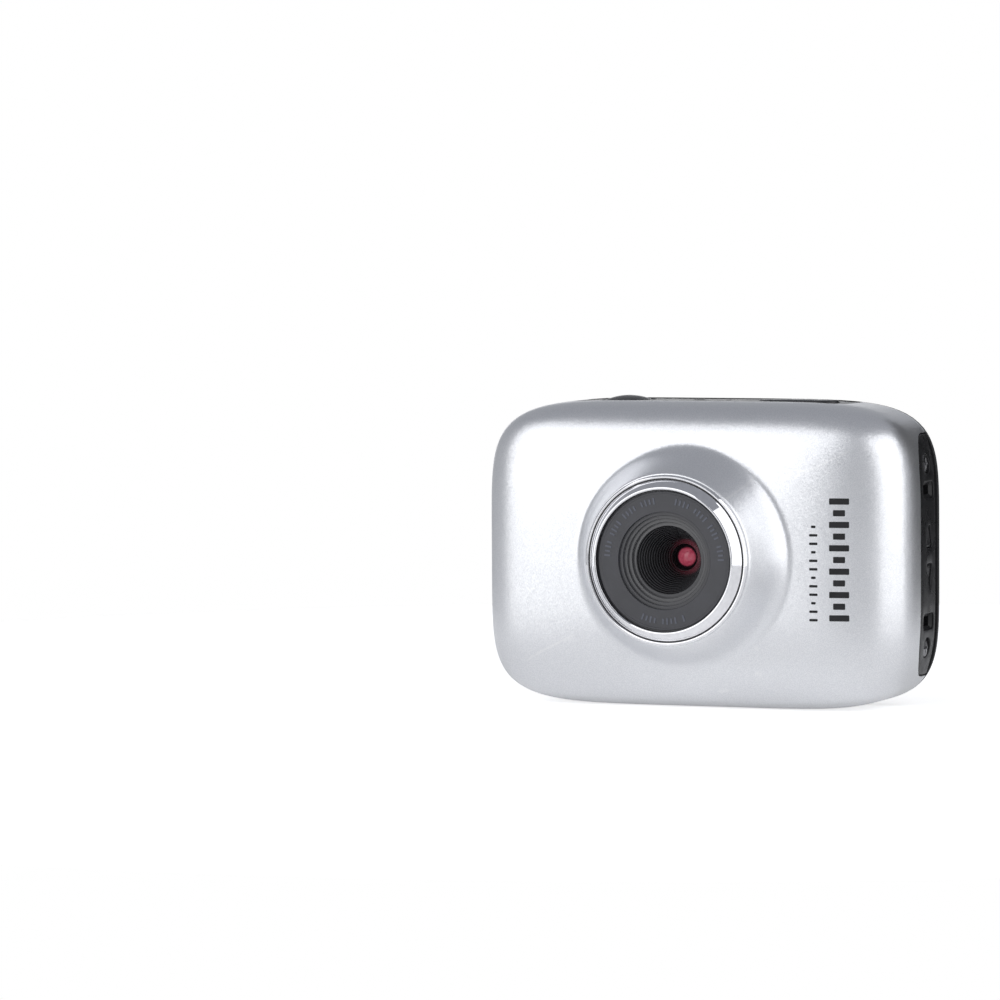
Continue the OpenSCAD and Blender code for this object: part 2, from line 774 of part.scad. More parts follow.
front_shell();
back_shell();
top_panel();
right_panel();
left_panel();
mid_frame();
lens_trim_ring();
lens_bezel();
lens_barrel();
lens_holder();
front_lens();
rear_lens();
infrared_filter();
image_sensor();
sensor_board();
sensor_connector();
main_board();
processor();
memory_chips();
battery();
battery_leads();
battery_socket();
screen_module();
screen_window();
screen_gasket();
usb_port();
card_socket();
memory_card();
port_door();
door_pin();
shutter_button();
power_button();
zoom_in_key();
zoom_out_key();
menu_button();
mode_button();
play_button();
top_switch_board();
top_switches();
side_switch_board();
side_switches();
back_switches();
status_light();
microphone();
speaker();
right_panel_screws();
left_panel_screws();
board_screws();
holder_screws();
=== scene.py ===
"""Looks of the action camera: smooth shells, lens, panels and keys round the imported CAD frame."""
import json
import math

import bmesh
import bpy
import numpy as np
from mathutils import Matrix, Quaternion, Vector
from mathutils.geometry import delaunay_2d_cdt

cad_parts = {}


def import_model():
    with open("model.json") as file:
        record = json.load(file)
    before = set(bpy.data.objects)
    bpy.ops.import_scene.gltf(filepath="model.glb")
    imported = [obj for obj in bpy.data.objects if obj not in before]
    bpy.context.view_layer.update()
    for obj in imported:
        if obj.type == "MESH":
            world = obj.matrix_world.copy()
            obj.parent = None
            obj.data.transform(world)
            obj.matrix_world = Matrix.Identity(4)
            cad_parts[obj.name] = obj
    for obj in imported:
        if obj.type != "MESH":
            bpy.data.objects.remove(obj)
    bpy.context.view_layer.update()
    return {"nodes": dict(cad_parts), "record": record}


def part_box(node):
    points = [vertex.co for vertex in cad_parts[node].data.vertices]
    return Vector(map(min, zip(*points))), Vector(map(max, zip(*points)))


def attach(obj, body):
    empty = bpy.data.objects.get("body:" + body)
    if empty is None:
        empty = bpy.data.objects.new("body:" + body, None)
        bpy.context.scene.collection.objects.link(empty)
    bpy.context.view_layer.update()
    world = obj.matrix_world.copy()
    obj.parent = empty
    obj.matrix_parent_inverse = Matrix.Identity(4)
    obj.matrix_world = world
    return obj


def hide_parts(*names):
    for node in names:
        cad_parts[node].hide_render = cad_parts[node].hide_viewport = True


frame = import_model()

MM = 0.001


def span(node):
    """A CAD node's lowest and highest corners in millimetres."""
    low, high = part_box(node)
    return np.array(low) / MM, np.array(high) / MM


def middle(node):
    """The middle of a CAD node's box in millimetres."""
    low, high = span(node)
    return (low + high) / 2


# ---- Sizes in millimetres, read from the frame or shared with the CAD source ----

OUTLINE_N = 5.5      # squareness of the case's outline
ROUND_N = 4          # squareness of the rounding between its face and its sides
ROUND_D = 13.2       # depth of that rounding
WALL = 1.6
FOOT_CUT = 0.1
BOSS_RISE = 6.4      # height of the lens boss above the face
SUNK = 0.1           # how far the panels lie below the case's surface
GAP = 0.15           # gap round each panel
SLACK = 0.1          # clearance round a button

shell_lo, shell_hi = span("front_shell")
_, back_hi = span("back_shell")
HALF_W = back_hi[0]
HALF_H = (back_hi[2] + FOOT_CUT) / 2
MID_Z = HALF_H - FOOT_CUT
BACK_Y = back_hi[1]
SEAM_Y = shell_hi[1]
BOSS_Y = shell_lo[1]
FACE_Y = BOSS_Y + BOSS_RISE
WIDE_Y = FACE_Y + ROUND_D
BACK_IN = BACK_Y - WALL
TOP_IN = MID_Z + HALF_H - WALL
SIDE_IN = HALF_W - WALL

ring_lo, ring_hi = span("lens_trim_ring")
bezel_lo, bezel_hi = span("lens_bezel")
FRONT_Y = ring_lo[1]
TRIM_R = ring_hi[0]
BEZEL_R = bezel_hi[0]
BEZEL_Y = bezel_lo[1]
BEZEL_BACK = bezel_hi[1]
FOOT_R = 16.8
HOLE_R = 10.4
LIP_R = TRIM_R + 0.15    # where the boss's slope meets the ring's groove
SEAM_EDGE = 0.14         # rounding of both shells where they meet

TOP_HALF = 21
TOP_Y = SEAM_Y - 9.4
TOP_INSET_R = 3
SIDE_HALF = 17.4
SIDE_Y = SEAM_Y - 8
SIDE_INSET_R = 6

SLOT_Y = SEAM_Y - 4.1
SLOT_Z = 9.4
SLOT_W = 4.8
SLOT_H = 2.4
SCREW_Y = SEAM_Y - 4.1
SCREW_Z = 13.1
SCREW_R = 1.35
SCREW_SEAT = HALF_W - 1.15
SCREW_HEAD = 0.6
ARROW_KEYS = (("zoom_in_key", 1), ("zoom_out_key", -1))

DOOR_HALF = 10
DOOR_FRONT = SEAM_Y - 7.2
HINGE_Y = SEAM_Y - 2
HINGE_X = HALF_W - 0.85
BARREL_R = 0.65
CARD_Z = -3.7
USB_Z = 6.2
PROUD = 0.015            # height of a print above its surface

screen_lo, screen_hi = span("screen_window")
SCREEN_X = (screen_lo[0] + screen_hi[0]) / 2
BACK_BUTTONS = ("menu_button", "mode_button", "play_button")


# ---- Mesh tools: points are in millimetres until Solid.make turns them into metres ----

QUARTER = math.pi / 2
NEARLY_STRAIGHT = 0.12      # a turn in radians that needs no rounding
SHARE_OF_SIDE = 0.45        # most of a side that one rounded corner may take up
TOUCHING = 1e-6             # outlines this close together are one
WELD_METRES = 2e-7


def unit(v):
    return v / np.linalg.norm(v)


def fillet(points, radius, steps=4, closed=True):
    """A polyline with each corner rounded to the radius, or to less where its sides are short."""
    pts = [np.array(p, float) for p in points]
    out = []
    for i, q in enumerate(pts):
        if not closed and i in (0, len(pts) - 1):
            out.append(q)
            continue
        a = pts[i - 1] - q
        b = pts[(i + 1) % len(pts)] - q
        room = SHARE_OF_SIDE * min(np.linalg.norm(a), np.linalg.norm(b))
        a = unit(a)
        b = unit(b)
        half = math.acos(np.clip(a @ b, -1, 1)) / 2
        turn = math.pi - 2 * half
        if turn < NEARLY_STRAIGHT:
            out.append(q)
            continue
        cut = min(radius / math.tan(half), room)
        centre = q + unit(a + b) * cut / math.cos(half)
        start, end = q + a * cut - centre, q + b * cut - centre
        for w in np.linspace(0, 1, steps + 1):
            mixed = math.sin((1 - w) * turn) * start + math.sin(w * turn) * end
            out.append(centre + mixed / math.sin(turn))
    return np.array(out)


def circle(x, y, r, n=64):
    """A round outline of n points."""
    a = np.arange(n) * 2 * math.pi / n
    return np.stack([x + r * np.cos(a), y + r * np.sin(a)], 1)


def rounded_box(x, y, w, h, r, steps=8):
    """A rectangle's outline with its corners rounded to r."""
    corners = [(x + a * w / 2, y + b * h / 2) for a, b in ((1, -1), (1, 1), (-1, 1), (-1, -1))]
    return fillet(corners, r, steps)


def divided(loop, spacing):
    """A closed outline with points added along its long edges."""
    points = []
    for a, b in zip(loop, np.roll(loop, -1, 0)):
        n = math.ceil(math.dist(a, b) / spacing)
        points += [a + (b - a) * k / n for k in range(n)]
    return np.array(points)


def stadium(x, y, length, width, n=20):
    """The outline of a bar with round ends."""
    turn = np.linspace(-QUARTER, QUARTER, n + 1)
    reach = (length - width) / 2
    right = np.stack([x + reach + width / 2 * np.cos(turn), y + width / 2 * np.sin(turn)], 1)
    left = np.stack([x - reach - width / 2 * np.cos(turn), y - width / 2 * np.sin(turn)], 1)
    return np.concatenate([right, left])


def grow(loop, distance):
    """A closed outline moved outwards by a distance, point for point."""
    x, y = loop[:, 0], loop[:, 1]
    side = np.sign(np.sum(x * np.roll(y, -1) - y * np.roll(x, -1)))
    ahead = np.roll(loop, -1, 0) - loop
    ahead /= np.linalg.norm(ahead, axis=1)[:, None]
    behind = np.roll(ahead, 1, 0)
    out = np.stack([ahead[:, 1] + behind[:, 1], -ahead[:, 0] - behind[:, 0]], 1)
    out *= 2 / np.sum(out * out, 1)[:, None]
    return loop + out * distance * side


def inside(points, loop):
    """Which points lie inside a closed outline."""
    x, y = points[:, 0][:, None], points[:, 1][:, None]
    x0, y0 = loop[:, 0], loop[:, 1]
    x1, y1 = np.roll(x0, -1), np.roll(y0, -1)
    crosses = (y0 > y) != (y1 > y)
    with np.errstate(divide="ignore", invalid="ignore"):
        at = (x1 - x0) * (y - y0) / (y1 - y0) + x0
    return (np.sum(crosses & (x < at), 1) % 2) == 1


def within(points, loops):
    """Which points lie inside the first outline and outside the others."""
    keep = inside(points, loops[0])
    for hole in loops[1:]:
        keep &= ~inside(points, hole)
    return keep


def round_over(edge, steps=3):
    """(offset, depth) pairs from a flat face over its rounded edge: offsets run from -edge to 0."""
    turns = np.linspace(0, QUARTER, steps + 1)
    return [(-edge * (1 - math.sin(w)), edge * (1 - math.cos(w))) for w in turns]


def straight(depth):
    """The (offset, depth) pairs of a plain wall with sharp edges."""
    return [(0, 0), (0, depth)]


def new_object(name, data):
    thing = bpy.data.objects.new(name, data)
    bpy.context.scene.collection.objects.link(thing)
    return thing


class Solid:
    """Collects the points and faces of closed meshes."""

    def __init__(self):
        self.points = []
        self.faces = []

    def ring(self, points):
        start = len(self.points)
        self.points.extend(np.asarray(points, float))
        return list(range(start, len(self.points)))

    def tube(self, rings, closed=False):
        """Joins rings of points one after another, and the last to the first if closed."""
        ids = [self.ring(r) for r in rings]
        pairs = list(zip(ids, ids[1:]))
        if closed:
            pairs.append((ids[-1], ids[0]))
        for a, b in pairs:
            for i, j in zip(range(-1, len(a) - 1), range(len(a))):
                self.faces.append((a[i], a[j], b[j], b[i]))
        return ids

    def strip(self, loop, profile, sign, surface):
        """A wall along an outline: its (offset, depth) profile counts outwards (1) or inwards (-1)."""
        flats = [grow(loop, sign * offset) for offset, _ in profile]
        ids = self.tube([surface(f[:, 0], f[:, 1], depth) for f, (_, depth) in zip(flats, profile)])
        return ids, flats

    def fill(self, rings, flats, surface, spacing):
        """Closes the face between an outer ring and its holes, whose flat outlines are flats."""
        known = [i for r in rings for i in r]
        flat = np.concatenate(flats)
        edges = []
        for f in flats:
            start = len(edges)
            edges += [(start + i, start + (i + 1) % len(f)) for i in range(len(f))]
        low, high = flats[0].min(0), flats[0].max(0)
        steps = [np.arange(low[k] + spacing / 2, high[k], spacing) for k in (0, 1)]
        grid = np.stack(np.meshgrid(*steps), -1).reshape(-1, 2)
        far = np.min(np.linalg.norm(grid[:, None] - flat[None], axis=2), 1) > 0.5 * spacing
        grid = grid[within(grid, flats) & far]
        if len(grid):
            known += self.ring(surface(grid[:, 0], grid[:, 1]))
        spots = [Vector(p) for p in np.concatenate([flat, grid])]
        verts, _, faces, origin = delaunay_2d_cdt(spots, edges, [], 0, TOUCHING)[:4]
        centres = np.array([sum((verts[v] for v in f), Vector((0, 0))) / len(f) for f in faces])
        for face, keep in zip(faces, within(centres, flats)):
            if keep:
                self.faces.append(tuple(known[origin[v][0]] for v in face))

    def make(self, name, material, body="case", replaces=(), slot=None, sharp=40):
        """Turns the mesh into a smooth piece that rides on a body."""
        mesh = bpy.data.meshes.new(name)
        mesh.from_pydata([tuple(p * MM) for p in self.points], [], self.faces)
        bm = bmesh.new()
        bm.from_mesh(mesh)
        bmesh.ops.remove_doubles(bm, verts=bm.verts, dist=WELD_METRES)
        bmesh.ops.recalc_face_normals(bm, faces=bm.faces)
        bm.to_mesh(mesh)
        bm.free()
        mesh.shade_smooth()
        mesh.set_sharp_from_angle(angle=math.radians(sharp))
        mesh.materials.append(material)
        piece = new_object(name, mesh)
        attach(piece, body)
        if replaces:
            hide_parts(*replaces)
        return piece


def turned(profile, place, n=160, closed=True, solid=None):
    """A solid of revolution: place(radius, angles, height) puts each (radius, height) of the profile."""
    solid = solid or Solid()
    angles = np.arange(n) * 2 * math.pi / n
    solid.tube([place(r, angles, h) for r, h in profile], closed)
    return solid


def about_y(x, z):
    return lambda r, a, h: np.stack([x + r * np.cos(a), h + 0 * a, z + r * np.sin(a)], 1)


def about_z(x, y):
    return lambda r, a, h: np.stack([x + r * np.cos(a), y + r * np.sin(a), h + 0 * a], 1)


def about_x(side, y, z):
    """An axis that comes out of the +X (1) or -X (-1) side; z is counted from the middle."""
    return lambda r, a, h: np.stack([side * h + 0 * a, y + r * np.sin(a), MID_Z + z + r * np.cos(a)], 1)


def plate(outer, rim, holes, surface, spacing, solid=None):
    """A plate that follows surface(u, v, depth).

    The rim and each hole's profile are (offset, depth) pairs that start on the top face. A hole is
    (outline, profile, floor): floor is None for a through hole, or the list of holes in its floor."""
    solid = solid or Solid()
    low_rings, low_flats = [], []
    thick = rim[-1][1]

    def face(ring, flat, depth, openings):
        rings, outlines = [ring], [flat]
        for loop, profile, floor in openings:
            ids, flats = solid.strip(loop, profile, -1, surface)
            rings.append(ids[0])
            outlines.append(flats[0])
            if floor is None:
                low_rings.append(ids[-1])
                low_flats.append(flats[-1])
            else:
                face(ids[-1], flats[-1], profile[-1][1], floor)
        solid.fill(rings, outlines, lambda u, v: surface(u, v, depth), spacing)

    ids, flats = solid.strip(outer, rim, 1, surface)
    face(ids[0], flats[0], rim[0][1], holes)
    solid.fill([ids[-1], *low_rings], [flats[-1], *low_flats], lambda u, v: surface(u, v, thick), spacing)
    return solid


def flat_y(level):
    """A flat face at a depth y that looks to the front: u is x and v is z."""
    return lambda u, v, depth=0.0: np.stack([u, level + depth + 0 * u, v], 1)


def flat_rear(level):
    """The same for a face that looks to the rear."""
    return lambda u, v, depth=0.0: np.stack([u, level - depth + 0 * u, v], 1)


def flat_z(level):
    """A flat face at a height z that looks up: u is x and v is y."""
    return lambda u, v, depth=0.0: np.stack([u, v, level - depth + 0 * u], 1)


def flat_x(level, side=1):
    """A flat face at x = side * level that looks outwards: u is the height from the middle and v is y."""
    return lambda u, v, depth=0.0: np.stack([side * (level - depth) + 0 * u, v, MID_Z + u], 1)


# ---- The case's shape ----

CORNER = 2 ** (-1 / OUTLINE_N)


def bow(f):
    """Height of the unit outline at a distance f from its middle."""
    return np.maximum(0, 1 - np.abs(f) ** OUTLINE_N) ** (1 / OUTLINE_N)


def depth_at(share, d=ROUND_D):
    """Depth of the front surface at a share of the outline."""
    return WIDE_Y - d * np.maximum(0, 1 - np.minimum(share, 1) ** ROUND_N) ** (1 / ROUND_N)


def share_at(y, d=ROUND_D):
    """Share of the outline that the front surface has reached at a depth."""
    return (1 - np.clip((WIDE_Y - y) / d, 0, 1) ** ROUND_N) ** (1 / ROUND_N)


def share_of(x, z, t=0):
    """Share of the outline, pulled in by t, at which x and z lie; z is counted from the middle."""
    a = np.abs(x) / (HALF_W - t)
    b = np.abs(z) / (HALF_H - t)
    return (a ** OUTLINE_N + b ** OUTLINE_N) ** (1 / OUTLINE_N)


def boss_share(r, foot, rim_r, blend=0.7):
    """Share of the boss's height at radius r: a soft foot, then a straight cone."""
    t = np.clip((foot - r) / (foot - rim_r), 0, 1)
    u = np.minimum(t / blend, 1)
    return np.where(u < 1, blend * (u ** 3 - u ** 4 / 2), t - blend / 2) / (1 - blend / 2)


def front_depth(x, z, t=0, foot=FOOT_R, rim_r=LIP_R, top=BOSS_Y):
    """Depth of the front skin with its boss; z is counted from the middle."""
    y = depth_at(share_of(x, z, t), ROUND_D - t)
    return y + (top - y) * boss_share(np.hypot(x, z), foot, rim_r)


def to_case(x, y, z):
    """Points of the case, with its underside flattened; z is counted from the middle."""
    x, y, z = np.broadcast_arrays(x, y, z)
    return np.stack([x, y, MID_Z + np.maximum(z, -MID_Z)], 1)


def plain_edge(half, n):
    """Half of a side with no inset: s, y, the way out across the edge, and where each line to it starts."""
    s = np.linspace(CORNER * half, 0, n, endpoint=False)
    return s, SEAM_Y + 0 * s, 0 * s, 1 + 0 * s, s


def inset_edge(half, inset, start, inset_r, n):
    """The same for half of a side whose inset has a half length and starts at a depth."""
    r = 0.2
    far = CORNER * half
    u = np.linspace(0, 1, n, endpoint=False)
    turn = np.linspace(0, QUARTER, 5)
    bend = np.linspace(0, QUARTER, 14)[1:]
    post_y = SEAM_Y - r
    arc_s, arc_y = inset - inset_r, start + inset_r
    parts = [
        (far + (inset + r - far) * u, SEAM_Y + 0 * u, 0 * u, 1 + 0 * u),
        (inset + r - r * np.sin(turn), post_y + r * np.cos(turn), -np.sin(turn), np.cos(turn)),
        (inset + 0 * u[1:], post_y + (arc_y - post_y) * u[1:], -1 + 0 * u[1:], 0 * u[1:]),
        (arc_s + inset_r * np.cos(bend), arc_y - inset_r * np.sin(bend), -np.cos(bend), np.sin(bend)),
        (arc_s * (1 - u[1:]), start + 0 * u[1:], 0 * u[1:], 1 + 0 * u[1:]),
    ]
    # where, along the side, the lines to each part's ends start
    marks = [far, inset + 1.5, inset + 1.3, inset - 0.4, arc_s, 0]
    counts = [len(p[0]) for p in parts]
    base = [np.linspace(a, b, c, endpoint=False) for a, b, c in zip(marks, marks[1:], counts)]
    return *(np.concatenate([p[k] for p in parts]) for k in range(4)), np.concatenate(base)


def whole_edge(half_edge):
    """A whole side from its half, in the order of rising s."""
    at_middle = (0, half_edge[1][-1], 0, 1, 0)
    flips = (-1, 1, -1, 1, -1)
    return [np.concatenate([f * v, [m], v[:0:-1]]) for v, m, f in zip(half_edge, at_middle, flips)]


class Rim:
    """The rear edge of the front shell all the way round: top, +X side, underside and -X side."""

    def __init__(self, n=14):
        top = (HALF_W, TOP_HALF, whole_edge(inset_edge(HALF_W, TOP_HALF, TOP_Y, TOP_INSET_R, n)))
        side = (HALF_H, SIDE_HALF, whole_edge(inset_edge(HALF_H, SIDE_HALF, SIDE_Y, SIDE_INSET_R, n)))
        under = (HALF_W, 0, whole_edge(plain_edge(HALF_W, 4 * n)))
        self.sides = [top, side, under, side]

    def across(self, number, s, t):
        """Points of the outline, pulled in by t, at s along a side: x and z from the middle."""
        half, inset, _ = self.sides[number]
        other = HALF_H if number % 2 == 0 else HALF_W
        fixed = inset + 0.3 if inset else 0
        stretch = (CORNER * (half - t) - fixed) / (CORNER * half - fixed)
        s = np.where(np.abs(s) > fixed, np.sign(s) * (fixed + (np.abs(s) - fixed) * stretch), s)
        rise = (other - t) * bow(s / (half - t))
        return [(s, rise), (rise, -s), (-s, -rise), (-rise, s)][number]

    def outline(self, t=0):
        """x and z of the outline where each line to the edge starts."""
        sides = [self.across(k, side[2][4], t) for k, side in enumerate(self.sides)]
        return np.concatenate([s[0] for s in sides]), np.concatenate([s[1] for s in sides])

    def line(self, share, mix, back, t):
        """Points of the skin t deep, from its ring at a share (mix 0) to the edge, moved back (mix 1)."""
        d = ROUND_D - t
        start = depth_at(share, d)
        rows = []
        for k, (_, _, (s, y, out_s, out_y, base)) in enumerate(self.sides):
            at_s = base + (s - out_s * back - base) * mix
            at_y = start + (y - out_y * back - start) * mix
            x, z = self.across(k, at_s, t)
            w = share_at(at_y, d)
            rows.append(to_case(x * w, at_y, z * w))
        return np.concatenate(rows)


def front_shell(material):
    rim = Rim()
    first, last = 0.88, 0.955
    inner_foot, inner_lip = FOOT_R - 1.4, HOLE_R + 0.5

    def skin(t, foot, rim_r, top, radii, morphs, shares, mixes):
        """Rings of one skin from the lens hole to the rear edge: circles, rings that change from a
        circle to the case's outline, shares of that outline, and lines to the edge."""
        x, z = rim.outline(t)
        length = np.hypot(x, z)
        scales = [r / length for r in radii]
        scales += [foot / length * (1 - m) + shares[0] * m for m in np.linspace(0, 1, morphs)[1:]]
        scales += list(shares[1:])
        rings = [to_case(x * k, front_depth(x * k, z * k, t, foot, rim_r, top), z * k) for k in scales]
        return rings + [rim.line(last, m, SEAM_EDGE, t) for m in np.linspace(0, 1, mixes)[1:]]

    outer_radii = [HOLE_R + 0.1, LIP_R - 0.2, LIP_R - 0.08, *np.linspace(LIP_R, FOOT_R, 28)]
    outer = skin(0, FOOT_R, LIP_R, BOSS_Y, outer_radii,
                 morphs=22, shares=np.linspace(first, last, 7), mixes=26)
    crease = (0.01, 0.05, 0.01)
    for ring, depth in zip(outer[2:5], crease):
        ring[:, 1] += depth
    turn = [rim.line(last, 1, -offset, depth) for offset, depth in round_over(SEAM_EDGE)[1:]]
    inner_radii = [HOLE_R, *np.linspace(inner_lip, inner_foot, 8)]
    inner = skin(WALL, inner_foot, inner_lip, BOSS_Y + 1.5, inner_radii,
                 morphs=6, shares=(0.9, 0.93, last), mixes=6)
    x, z = rim.outline()
    k = HOLE_R / np.hypot(x, z)
    wall_top = to_case(x * k, BOSS_Y + 0.1, z * k)
    solid = Solid()
    solid.tube([*outer, *turn, rim.line(last, 1, 0, WALL), *inner[::-1], wall_top], closed=True)
    return solid.make("front_shell_skin", material, replaces=["front_shell"], slot="silver_paint")


# ---- Back shell, and the panels let into the case ----

def full_outline(t, per_side=56):
    """The whole outline, pulled in by t: x and z from the middle."""
    k = np.arange(per_side) / per_side
    a, b = HALF_W - t, HALF_H - t
    u = a * CORNER * (2 * k - 1)
    v = b * CORNER * (2 * k - 1)
    x = np.concatenate([u, a * bow(v / b), -u, -a * bow(v / b)])
    z = np.concatenate([b * bow(u / a), -v, -b * bow(u / a), v])
    return x, z


def back_shell(material):
    round_r = 2.3
    surface = flat_rear(BACK_Y)
    levels = [(WALL, BACK_IN), (WALL, SEAM_Y)]
    levels += [(-offset, SEAM_Y + depth) for offset, depth in round_over(SEAM_EDGE)]
    levels += [(-offset, BACK_Y - depth) for offset, depth in reversed(round_over(round_r, 12))]
    rings = []
    for t, y in levels:
        x, z = full_outline(t)
        rings.append(to_case(x, y, z))
    solid = Solid()
    ids = solid.tube(rings)
    tops, top_flats = [ids[-1]], [rings[-1][:, [0, 2]]]
    lows, low_flats = [ids[0]], [rings[0][:, [0, 2]]]
    ledge, ledge_w = 1.1, 1.3
    button_r = 2.7
    edge = round_over(0.3, 4)
    width, _, height = screen_hi - screen_lo + 2 * SLACK
    window = rounded_box(SCREEN_X, MID_Z, width, height, 1.5)
    holes = [(window, edge + [(0, ledge), (ledge_w, ledge), (ledge_w, WALL)])]
    for node in BACK_BUTTONS:
        x, _, z = middle(node)
        holes.append((circle(x, z, button_r + SLACK), edge + [(0, WALL)]))
    for loop, profile in holes:
        hole_ids, flats = solid.strip(loop, profile, -1, surface)
        tops.append(hole_ids[0])
        top_flats.append(flats[0])
        lows.append(hole_ids[-1])
        low_flats.append(flats[-1])
    solid.fill(tops, top_flats, surface, 2.5)
    solid.fill(lows, low_flats, lambda u, v: surface(u, v, WALL), 5)
    return solid.make("back_shell_skin", material, replaces=["back_shell"], slot="black_plastic")


def inset_outline(half, front, r):
    """Outline of an inset panel: s runs along the case's edge, y goes back."""
    rear = SEAM_Y - GAP
    turn = np.linspace(0, QUARTER, 13)
    right = [(half - r + r * math.cos(w), front + r - r * math.sin(w)) for w in turn]
    left = [(-s, y) for s, y in reversed(right)]
    rear_corners = fillet([left[-1], (-half, rear), (half, rear), right[0]], 0.35, 5, closed=False)[1:-1]
    return np.concatenate([rear_corners, right, left])


def top_surface(x, y, depth=0.0):
    return np.stack([x, y, MID_Z + (HALF_H - SUNK - depth) * bow(x / HALF_W) * share_at(y)], 1)


def side_surface(side):
    """Surface of the +X or -X side: s is the height from the middle, y goes back."""
    def surface(s, y, depth=0.0):
        return np.stack([side * (HALF_W - SUNK - depth) * bow(s / HALF_H) * share_at(y), y, MID_Z + s], 1)
    return surface


PANEL_EDGE = round_over(0.16, 4)
HOLE_EDGE = round_over(0.12)
THROUGH = HOLE_EDGE + [(0, WALL - SUNK)]
POWER_FLANGE = 0.8


def power_size():
    """Length and width of the power button's cap, without its flange."""
    low, high = span("power_button")
    return high[0] - low[0] - POWER_FLANGE, high[1] - low[1] - POWER_FLANGE


def top_panel(material):
    shutter = middle("shutter_button")
    power = middle("power_button")
    light = middle("status_light")
    mic = middle("microphone")
    long, wide = power_size()
    shutter_r, light_r, mic_r = 3.9, 0.85, 0.4
    holes = [
        (circle(shutter[0], shutter[1], shutter_r + SLACK, 96), THROUGH, None),
        (stadium(power[0], power[1], long + 2 * SLACK, wide + 2 * SLACK), THROUGH, None),
        (circle(light[0], light[1], light_r, 32), THROUGH, None),
        (circle(mic[0], mic[1], mic_r, 24), round_over(0.06) + [(0, WALL - SUNK)], None),
    ]
    outline = inset_outline(TOP_HALF - GAP, TOP_Y + GAP, TOP_INSET_R)
    solid = plate(outline, PANEL_EDGE + [(0, WALL - SUNK)], holes, top_surface, 1.2)
    return solid.make("top_panel_skin", material, replaces=["top_panel"], slot="black_plastic")


def arrow_outline(node, point, extra=0.0):
    """An arrow key's outline in heights from the middle and depths, pointing up (1) or down (-1)."""
    _, y, z = middle(node)
    long, wide, r = 3.9, 1.25, 0.35
    corners = [(long / 2, 0), (-long / 2, wide), (-long / 2, -wide)]
    return grow(fillet([(z - MID_Z + point * a, y + b) for a, b in corners], r, 8), extra)


def screw_pockets():
    profile = HOLE_EDGE + [(0, HALF_W - SUNK - SCREW_SEAT)]
    return [(circle(side * SCREW_Z, SCREW_Y, SCREW_R + SLACK, 48), profile, []) for side in (-1, 1)]


def strap_slots():
    """Two slots whose walls slope down to a narrow mouth."""
    profile = round_over(0.1) + [(0, 0.25), (0.1, 0.33), (0.42, 0.6), (0.5, 0.66), (0.52, 1.38)]
    return [(rounded_box(side * SLOT_Z, SLOT_Y, SLOT_H, SLOT_W, 0.75, 6), profile, []) for side in (-1, 1)]


def side_outline():
    return inset_outline(SIDE_HALF - GAP, SIDE_Y + GAP, SIDE_INSET_R)


def right_panel(material):
    keys = [(arrow_outline(node, point, SLACK), THROUGH, None) for node, point in ARROW_KEYS]
    holes = screw_pockets() + strap_slots() + keys
    solid = plate(side_outline(), PANEL_EDGE + [(0, WALL - SUNK)], holes, side_surface(1), 1.2)
    return solid.make("right_panel_skin", material, replaces=["right_panel"], slot="black_plastic")


def left_panel(material):
    """The -X panel, with the door's recess and the openings for the socket and the card in its floor."""
    thick = 2.0
    recess = 1.42
    socket_y, card_y = middle("usb_port")[1], middle("memory_card")[1]
    ports = [
        (rounded_box(USB_Z, socket_y, 7.4, 2.2, 0.5), [(0, recess), (0, thick)], None),
        (rounded_box(CARD_Z, card_y, 11.6, 1.8, 0.4), [(0, recess), (0, thick)], None),
    ]
    front, rear = DOOR_FRONT - SLACK, HINGE_Y + BARREL_R + 0.2
    opening = rounded_box(0, (front + rear) / 2, 2 * (DOOR_HALF + SLACK), rear - front, 0.4)
    holes = screw_pockets() + [(opening, HOLE_EDGE + [(0, recess)], ports)]
    solid = plate(side_outline(), PANEL_EDGE + [(0, thick)], holes, side_surface(-1), 1.2)
    return solid.make("left_panel_skin", material, replaces=["left_panel"], slot="black_plastic")


def port_door(material):
    """The leaf, its hinge barrel and the web between them, as one outline drawn down the door's height."""
    leaf_rear = HINGE_Y - 0.95
    outer, inner = HALF_W - SUNK, HALF_W - WALL + 0.3
    web = HINGE_X + 0.1
    height = 2 * DOOR_HALF
    edge = 0.12
    start = math.asin((web - HINGE_X) / BARREL_R)
    end = 2 * math.pi - math.asin((HINGE_X - inner) / BARREL_R)
    turns = np.linspace(start, end, 31)
    barrel = [(HINGE_X + BARREL_R * math.sin(w), HINGE_Y - BARREL_R * math.cos(w)) for w in turns]
    leaf = fillet([(inner, DOOR_FRONT), (outer, DOOR_FRONT), (outer, leaf_rear), (web, leaf_rear), barrel[0]],
                  0.25, 6, closed=False)
    outline = np.array([(-x, y) for x, y in [*leaf[:-1], *barrel]])
    rows = [(0, height * k / 4) for k in range(1, 4)]
    rim = round_over(edge) + rows + [(0, height - edge), (-edge, height)]

    def surface(x, y, depth=0.0):
        z = DOOR_HALF - depth
        flex = np.where(y < leaf_rear + 0.01, bow(z / HALF_H), 1)
        return np.stack([x * flex, y, MID_Z + z + 0 * x], 1)

    bore = (circle(-HINGE_X, HINGE_Y, 0.36, 24), straight(height), None)
    solid = plate(outline, rim, [bore], surface, 4)
    return solid.make("port_door_leaf", material, "door", ["port_door"], "black_plastic")


